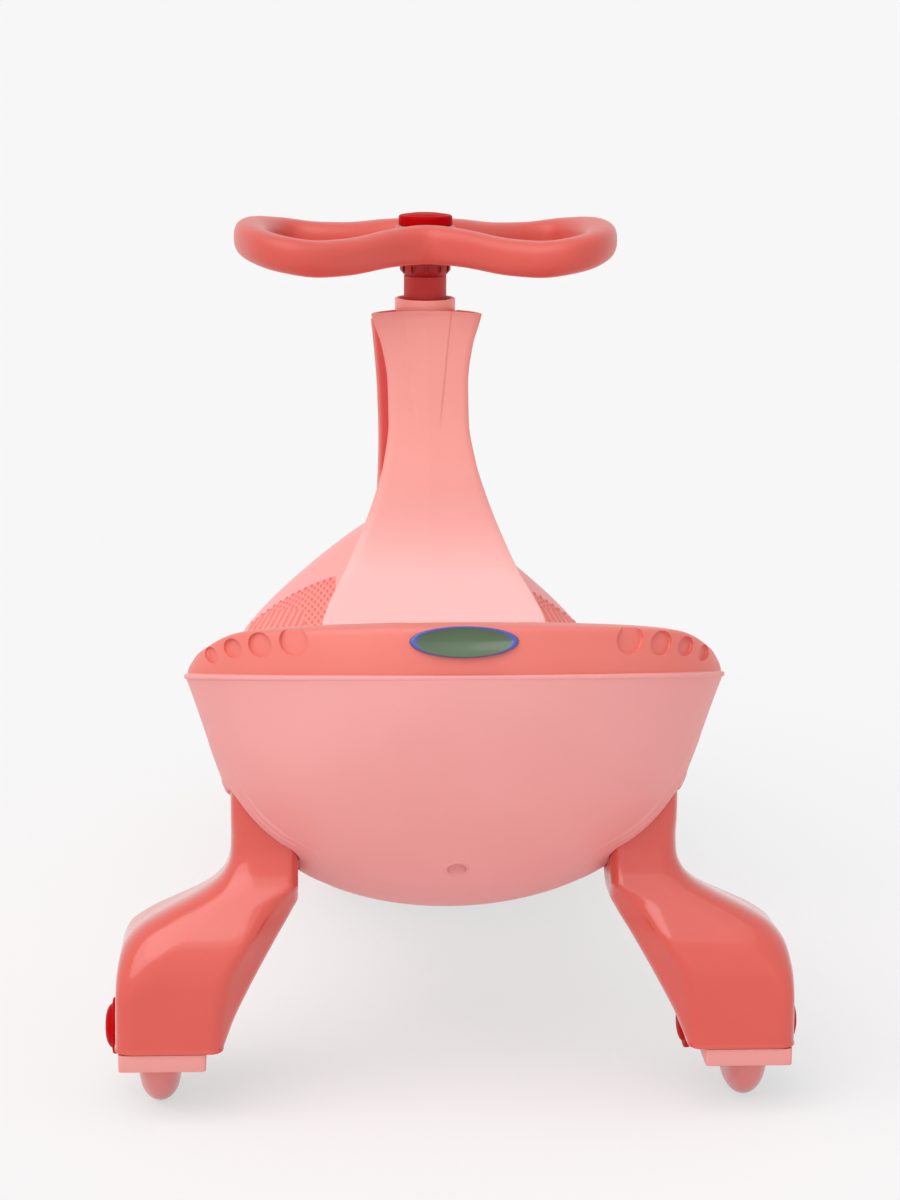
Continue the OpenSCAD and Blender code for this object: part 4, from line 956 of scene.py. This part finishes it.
for side, name in ((-1, "left"), (1, "right")):
    rings = []
    for n, z in enumerate(leg_levels):
        inset = leg_insets[n] if n < len(leg_insets) else 0
        closed = inset is None or n == len(leg_levels) - 1
        rings.append(level_ring(leg_outline(z, 0 if closed else -inset), side, z, closed))
    leg = loft(name + "_leg_moulding", rings)
    x = side * wheel_x
    inner_low, inner_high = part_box(name + "_inner_cap")
    outer_low, outer_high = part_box(name + "_outer_cap")
    inner_seat = (inner_high.x if side > 0 else inner_low.x) / MM
    outer_seat = (outer_low.x if side > 0 else outer_high.x) / MM
    cut_across(leg, wheel_well_r, x - wheel_well_half, x + wheel_well_half)
    cut_across(leg, cap_seat_r, inner_seat, inner_seat - side * cap_seat_reach)
    cut_across(leg, cap_seat_r, outer_seat, outer_seat + side * cap_seat_reach)
    smooth_to(leg, 38)
    fit(leg, leg_coral, "leg_coral", "chassis", name + "_leg")

# Wheel brackets. Pink blocks that plug up into the feet of the legs and hold the rear axles.
# Only their lowest centimetre shows, with a slot that the wheel comes through.
bracket_low_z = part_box("right_wheel_bracket")[0].z / MM
bracket_top_z = leg_foot_z - 0.3
bracket_pink = plastic("bracket pink", (234, 162, 156), (230, 156, 150), 0.42, 0.08)
bracket_in = 122.3
bracket_out = 164.9
bracket_reach = 42.4
bracket_corner = 1.6
bracket_rows = [(bracket_low_z, None), (bracket_low_z, 0.8), (bracket_low_z + 0.2, 0.3),
                (bracket_low_z + 0.7, 0), (bracket_top_z, 0), (bracket_top_z, None)]
for side, name in ((-1, "left"), (1, "right")):
    rings = []
    for z, inset in bracket_rows:
        shrink = inset or 0
        low_x = bracket_in + shrink
        high_x = bracket_out - shrink
        reach = bracket_reach - shrink
        outline = rounded([(x, axle_y + y, bracket_corner) for x, y in (
            (high_x, -reach), (high_x, reach), (low_x, reach), (low_x, -reach))])
        rings.append(level_ring(outline, side, z, inset is None))
    bracket = loft(name + "_wheel_bracket_block", rings)
    x = side * wheel_x
    cut_across(bracket, wheel_well_r, x - wheel_well_half, x + wheel_well_half)
    cut_across(bracket, cap_seat_r, side * foot_in, side * (foot_in - cap_seat_reach))
    smooth_to(bracket, 38)
    fit(bracket, bracket_pink, "bracket_pink", "chassis", name + "_wheel_bracket")

# Hub caps. Moulded red plastic caps with a flange and a domed middle.
# They are pressed over the bolt heads and nuts of the rear and front axles; the inner ones are flatter.
cap_red = plastic("cap red", (188, 6, 11), (180, 3, 8), 0.4)
cap_red.node_tree.nodes["Principled BSDF"].inputs["Specular IOR Level"].default_value = 0.02
inner_cap_flat = 0.9
cap_profile = [(0, 0), (13.3, 0), (13.8, 0.25), (14, 0.8), (14, 2.4), (13.8, 3.0), (13.2, 3.3), (11.6, 3.4),
               (11.1, 3.6), (10.6, 4.3), (9.6, 5.2), (7.8, 6.1), (5.4, 6.7), (2.8, 6.95), (0, 7)]
cap_places = [("left_outer_cap", -1), ("right_outer_cap", 1), ("left_inner_cap", 1),
              ("right_inner_cap", -1), ("front_left_cap", -1), ("front_right_cap", 1)]
for node, way in cap_places:
    low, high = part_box(node)
    seat_x = (low.x if way > 0 else high.x) / MM
    middle = (seat_x, (low.y + high.y) / 2 / MM, (low.z + high.z) / 2 / MM)
    flat = inner_cap_flat if "inner" in node else 1
    profile = [(radius, along * flat) for radius, along in cap_profile]
    cap = turned(node + "_dome", profile, middle, (way, 0, 0))
    body = "steering" if node.startswith("front") else "chassis"
    fit(cap, cap_red, "cap_red", body, node)

# Wheels. Tyres of clear pink plastic with a bullet tread, cast round a redder core.
# A ball bearing sits in each side of the core, and the wheel spins on its bolt or axle.
tyre_profile = [(22.1, -8), (24.1, -10), (26, -9.95), (28.7, -9.3), (30.2, -8.8), (31.6, -8.05),
                (33.1, -7.05), (34.6, -5.75), (35.5, -4.6), (36.3, -3.2), (36.8, -1.7), (37, 0)]
tyre_profile += [(radius, -along) for radius, along in reversed(tyre_profile[:-1])]
core_profile = [(13.2, -9), (14, -9), (14, -8), (21.2, -8), (22, -7.2)]
core_profile += [(radius, -along) for radius, along in reversed(core_profile)]
tyre_clear = plastic("tyre clear pink", (238, 150, 147), (232, 142, 139), 0.24)
tyre_shader = tyre_clear.node_tree.nodes["Principled BSDF"]
tyre_shader.inputs["Transmission Weight"].default_value = 0.2
tyre_shader.inputs["IOR"].default_value = 1.46
core_red = plastic("core red", (206, 60, 60), (196, 52, 53), 0.35)
for wheel in ("rear_left", "rear_right", "front_left", "front_right"):
    middle = joint_at[wheel + "_wheel_spin"]
    tyre = turned(wheel + "_tyre_clear", tyre_profile, middle, (1, 0, 0), 144)
    fit(tyre, tyre_clear, "wheel_clear_pink", wheel + "_wheel", wheel + "_tyre")
    core = turned(wheel + "_core", core_profile, middle, (1, 0, 0))
    fit(core, core_red, "hub_red", wheel + "_wheel", wheel + "_hub")

# Steering wheel. One coral moulding of two flat loops that meet in a pinched middle over the column.
# Its thick grip rises and falls gently along the loops, and its hub is blended in smoothly.
grip_low, grip_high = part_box("steering_wheel")
grip_mid_z = grip_low.z / MM + 11
grip_half_w = 10
grip_half_h = 10.4
grip_reach = grip_high.x / MM - grip_half_w
grip_pinch = 23
grip_bulge = 108
grip_corner = 0.75
grip_remesh = 1.1
grip_wave_keys = [(0, 2.2), (20, 1.3), (45, -1.6), (60, -2), (85, 1), (112, 5)]
grip_wide_round = 0.03
grip_wide_power = 0.1
grip_deep_round = 0.04
grip_deep_power = 0.85
hub_rise = 1.5
hub_spread = 30
hub_r = 17.8
hub_low = -7.6
hub_top = 12.2
hub_bore_r = 8.3
cap_bore_r = 15.8
cap_bore_low = 11.8
bore_reach = 30


def power(value, exponent):
    return math.copysign(abs(value) ** exponent, value)


def grip_path(angle):
    c = math.cos(angle)
    wide = c * ((c * c + grip_wide_round) / (1 + grip_wide_round)) ** grip_wide_power
    low = grip_deep_round ** grip_deep_power
    high = (1 + grip_deep_round) ** grip_deep_power
    deep = ((c * c + grip_deep_round) ** grip_deep_power - low) / (high - low)
    return Vector((grip_reach * wide, math.sin(angle) * (grip_pinch + grip_bulge * deep), 0))


def grip_place(u, v):
    angle = 2 * math.pi * u
    along = grip_path(angle + 0.01) - grip_path(angle - 0.01)
    out = Vector((along.y, -along.x, 0)).normalized()
    turn = 2 * math.pi * v
    point = grip_path(angle) + out * grip_half_w * power(math.cos(turn), grip_corner)
    up = power(math.sin(turn), grip_corner)
    wave = smooth_curve(grip_wave_keys, abs(point.x), True)
    rise = hub_rise * math.exp(-(point.x / hub_spread) ** 2) * (1 + up) / 2
    return point + Vector((0, column_y, grip_mid_z + wave + rise + grip_half_h * up))


def column_rod(radius, low, high, sides=96):
    # Upright rod round the column, with heights from the middle of the grip
    return rod(radius, (0, column_y, grip_mid_z + low), (0, column_y, grip_mid_z + high), sides)


steering_wheel = moulding("steering_wheel_grip", 260, 40, grip_place)
grip_hub = column_rod(hub_r, hub_low, hub_top)
apply_modifier(steering_wheel, "BOOLEAN", operation="UNION", solver="EXACT", object=grip_hub)
bpy.data.objects.remove(grip_hub)
apply_modifier(steering_wheel, "REMESH", mode="VOXEL", voxel_size=grip_remesh * MM)
apply_modifier(steering_wheel, "SMOOTH", factor=0.5, iterations=22)
cut(steering_wheel, column_rod(hub_bore_r, -bore_reach, bore_reach, 64))
cut(steering_wheel, column_rod(cap_bore_r, cap_bore_low, bore_reach))
smooth_to(steering_wheel, 50)
grip_coral = plastic("grip coral", (216, 90, 79), (210, 83, 72), 0.42, 0.05)
grip_shader = grip_coral.node_tree.nodes["Principled BSDF"]
grip_shader.inputs["Sheen Weight"].default_value = 0.25
grip_shader.inputs["Sheen Roughness"].default_value = 0.4
grip_shader.inputs["Sheen Tint"].default_value = (1, 0.82, 0.8, 1)
fit(steering_wheel, grip_coral, "grip_coral", "steering", "steering_wheel")

# Steering cap. A stepped cap of the same red plastic as the hub caps, with a low dome.
# It is pressed into the hub of the steering wheel and hides the bolt in it.
cap_h = 7
cap_base_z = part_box("steering_cap")[1].z / MM - cap_h
steering_cap_profile = [(0, -3), (12.5, -3), (12.5, 0), (14.9, 0), (15.3, 0.3), (15.5, 0.9), (15.5, 4.4),
                        (15.3, 5.1), (14.7, 5.6), (13.7, 5.8), (13.1, 5.6), (12.6, 5.6), (11.6, 6.0),
                        (8.6, 6.6), (4.6, 6.9), (0, cap_h)]
steering_cap = turned("steering_cap_dome", steering_cap_profile, (0, column_y, cap_base_z), (0, 0, 1))
fit(steering_cap, cap_red, "cap_red", "steering", "steering_cap")

# Hub nut and sleeve. A moulded red nut with twelve key notches, screwed up under the steering wheel.
# It stands on a plain coral tube that covers the steel shaft.
nut_rise = 3.2
nut_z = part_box("hub_nut")[0].z / MM + nut_rise
tube_bore_r = 8.3
hub_nut_profile = [(tube_bore_r, 0), (12.0, 0), (12.3, 0.3), (14.5, 2.9), (14.7, 3.4), (14.7, 8.5),
                   (14.4, 8.9), (tube_bore_r, 8.9)]
hub_nut = turned("hub_nut_notched", hub_nut_profile, (0, column_y, nut_z), (0, 0, 1), 144)
notch_count = 12
notch_size = Vector((2.6, 3.0, 14)) * MM
notch_at = Vector((14.8, 0, -1)) * MM
notch_cutters = []
for n in range(notch_count):
    bpy.ops.mesh.primitive_cube_add(size=1)
    notch = bpy.context.active_object
    turn = Matrix.Rotation(2 * math.pi * n / notch_count, 4, "Z")
    middle = Matrix.Translation(Vector((0, column_y, nut_z)) * MM)
    notch.data.transform(middle @ turn @ Matrix.Translation(notch_at) @ Matrix.Diagonal((*notch_size, 1)))
    notch_cutters.append(notch)
cut(hub_nut, merge("notch_cutters", notch_cutters))
smooth_to(hub_nut, 30)
# Painted shade: the nut is painted a darker, redder tone than the grip's coral, standing in for the shadow
# under the steering wheel
nut_red_painted_shade = plastic("nut red, painted shade", (166, 10, 14), (158, 8, 11), 0.5, 0.04)
fit(hub_nut, nut_red_painted_shade, "grip_coral", "steering", "hub_nut")
sleeve_low, sleeve_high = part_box("column_sleeve")
sleeve_h = (sleeve_high.z - sleeve_low.z) / MM + nut_rise
sleeve_profile = [(tube_bore_r, 0), (12.0, 0), (12.3, 0.3), (12.3, sleeve_h - 0.3), (12.0, sleeve_h),
                  (tube_bore_r, sleeve_h)]
column_sleeve = turned("column_sleeve_tube", sleeve_profile, (0, column_y, sleeve_low.z / MM), (0, 0, 1))
# Painted shade: the sleeve is painted darker than the grip's coral, standing in for the shadow under the
# steering wheel
sleeve_coral_painted_shade = plastic("sleeve coral, painted shade", (192, 42, 36), (184, 37, 31), 0.5, 0.04)
fit(column_sleeve, sleeve_coral_painted_shade, "grip_coral", "steering", "column_sleeve")

# Collar. A pale coral bush with a tall open rim, moulded and pressed into the top of the neck.
# The sleeve and the shaft turn in it.
collar_profile = [(8.4, -18), (12.6, -18), (12.6, 0), (17.2, 0), (17.5, 0.4), (17.5, 7.4), (17.1, 8),
                  (15.9, 8), (15.5, 7.4), (15.5, 2), (8.4, 2)]
# Painted light: the collar is painted paler than the seat's coral, to make up for the shade of the wheel
# over it
collar_coral_painted_light = plastic("collar coral, painted light", (254, 170, 160), (251, 164, 153), 0.42, 0.05)
collar = turned("upper_bush_collar", collar_profile, (0, column_y, neck_top_z), (0, 0, 1))
fit(collar, collar_coral_painted_light, "seat_coral", "chassis", "upper_bush")

# Hardware. Zinc-plated bolts, nuts, screws and bearings, and black nylon bushes, spacers and fork.
# These exact pieces keep the shape that they were turned or pressed to.
steel_nodes = ["leg_tie_bar", "leg_screws", "body_screws", "left_axle_bolt", "right_axle_bolt",
               "left_axle_nut", "right_axle_nut", "wheel_bolt", "steering_shaft", "thrust_washer",
               "fork_pin", "front_axle", "front_nuts", "rear_left_bearings", "rear_right_bearings",
               "front_left_bearings", "front_right_bearings"]
nylon_nodes = ["left_spacers", "right_spacers", "lower_bush", "front_fork"]
zinc = plastic("zinc plate", (196, 198, 202), (176, 179, 186), 0.32, 0.05, 900)
zinc.node_tree.nodes["Principled BSDF"].inputs["Metallic"].default_value = 1
nylon = plastic("black nylon", (38, 38, 40), (30, 30, 32), 0.5, 0.2, 900)
for names, material in ((steel_nodes, zinc), (nylon_nodes, nylon)):
    for node in names:
        for socket in frame["nodes"][node].material_slots:
            socket.material = material

# Camera. It stands behind the car, a little to its left, and looks down at it.
# Its place and its long lens were fitted to the wheels, the feet of the legs and the rim of the hull.
photo_h = 1200
focal_px = 3360
sensor_mm = 36
camera_at = Vector((-90.2, -1870, 586.7)) * MM
yaw = math.radians(3.13)
pitch = math.radians(11.78)
roll = math.radians(0.41)
ahead = Vector((math.sin(yaw) * math.cos(pitch), math.cos(yaw) * math.cos(pitch), -math.sin(pitch)))
level = Vector((math.cos(yaw), -math.sin(yaw), 0))
upright = level.cross(ahead)
right = level * math.cos(roll) + upright * math.sin(roll)
top = upright * math.cos(roll) - level * math.sin(roll)
camera = bpy.data.objects.new("camera", bpy.data.cameras.new("camera"))
bpy.context.scene.collection.objects.link(camera)
camera.matrix_world = Matrix((
    (right.x, top.x, -ahead.x, camera_at.x),
    (right.y, top.y, -ahead.y, camera_at.y),
    (right.z, top.z, -ahead.z, camera_at.z),
    (0, 0, 0, 1)))
camera.data.sensor_fit = "AUTO"
camera.data.sensor_width = sensor_mm
camera.data.lens = sensor_mm * focal_px / photo_h
camera.data.clip_end = 200
bpy.context.scene.camera = camera

# Floor. A wide sheet of white studio paper, with a soft shadow under the car.
# To the camera, and in gloss and clear plastic, it also glows, which lightens its shadow.
bpy.ops.mesh.primitive_plane_add(size=120)
floor = bpy.context.active_object
floor.name = "floor"
glow_share = 0.6


def seen_rays(tree):
    # 1 for rays from the camera, off a gloss or through a clear piece, and otherwise 0
    path = add_node(tree, "LightPath")
    seen = path.outputs["Is Camera Ray"]
    for ray in ("Is Glossy Ray", "Is Transmission Ray"):
        either = add_node(tree, "Math", operation="MAXIMUM")
        tree.links.new(seen, either.inputs[0])
        tree.links.new(path.outputs[ray], either.inputs[1])
        seen = either.outputs[0]
    return seen


paper = bpy.data.materials.new("white paper")
paper.use_nodes = True
paper_tree = paper.node_tree
paper_tree.nodes.remove(paper_tree.nodes["Principled BSDF"])
paper_matt = add_node(paper_tree, "BsdfDiffuse", {"Color": (1, 0.82, 0.82, 1)})
paper_glow = add_node(paper_tree, "Emission", {"Color": (0.872, 0.996, 0.996, 1)})
paper_share = add_node(paper_tree, "Math", {1: glow_share}, operation="MULTIPLY")
paper_mix = add_node(paper_tree, "MixShader")
paper_tree.links.new(seen_rays(paper_tree), paper_share.inputs[0])
paper_tree.links.new(paper_share.outputs[0], paper_mix.inputs[0])
paper_tree.links.new(paper_matt.outputs[0], paper_mix.inputs[1])
paper_tree.links.new(paper_glow.outputs[0], paper_mix.inputs[2])
paper_tree.links.new(paper_mix.outputs[0], paper_tree.nodes["Material Output"].inputs["Surface"])
floor.data.materials.append(paper)

# Studio light. A white room, which looks whiter than the light that it gives.
# A broad key light comes from the upper left, a soft one from above and a weak fill from the camera.
room_light = 0.5
room_white = 0.94
world = bpy.data.worlds.new("studio")
bpy.context.scene.world = world
world.use_nodes = True
room_tree = world.node_tree
room = room_tree.nodes["Background"]
room.inputs["Color"].default_value = (1, 1, 1, 1)
room_level = add_node(room_tree, "MapRange", {"To Min": room_light, "To Max": room_white})
room_tree.links.new(seen_rays(room_tree), room_level.inputs["Value"])
room_tree.links.new(room_level.outputs["Result"], room.inputs["Strength"])


def sun(name, azimuth, elevation, strength, spread):
    # Wide distant light; azimuth 0 comes from behind the camera, positive from its right
    lamp = bpy.data.lights.new(name, "SUN")
    lamp.energy = strength
    lamp.angle = math.radians(spread)
    lamp_object = bpy.data.objects.new(name, lamp)
    bpy.context.scene.collection.objects.link(lamp_object)
    a = math.radians(azimuth)
    e = math.radians(elevation)
    toward = Vector((math.sin(a) * math.cos(e), -math.cos(a) * math.cos(e), math.sin(e)))
    lamp_object.rotation_euler = toward.to_track_quat("Z", "Y").to_euler()


sun("key", -46, 50, 1.35, 60)
sun("top", -8, 68, 0.6, 70)
sun("fill", 0, 9, 0.2, 70)
bpy.context.scene.view_settings.view_transform = "Standard"
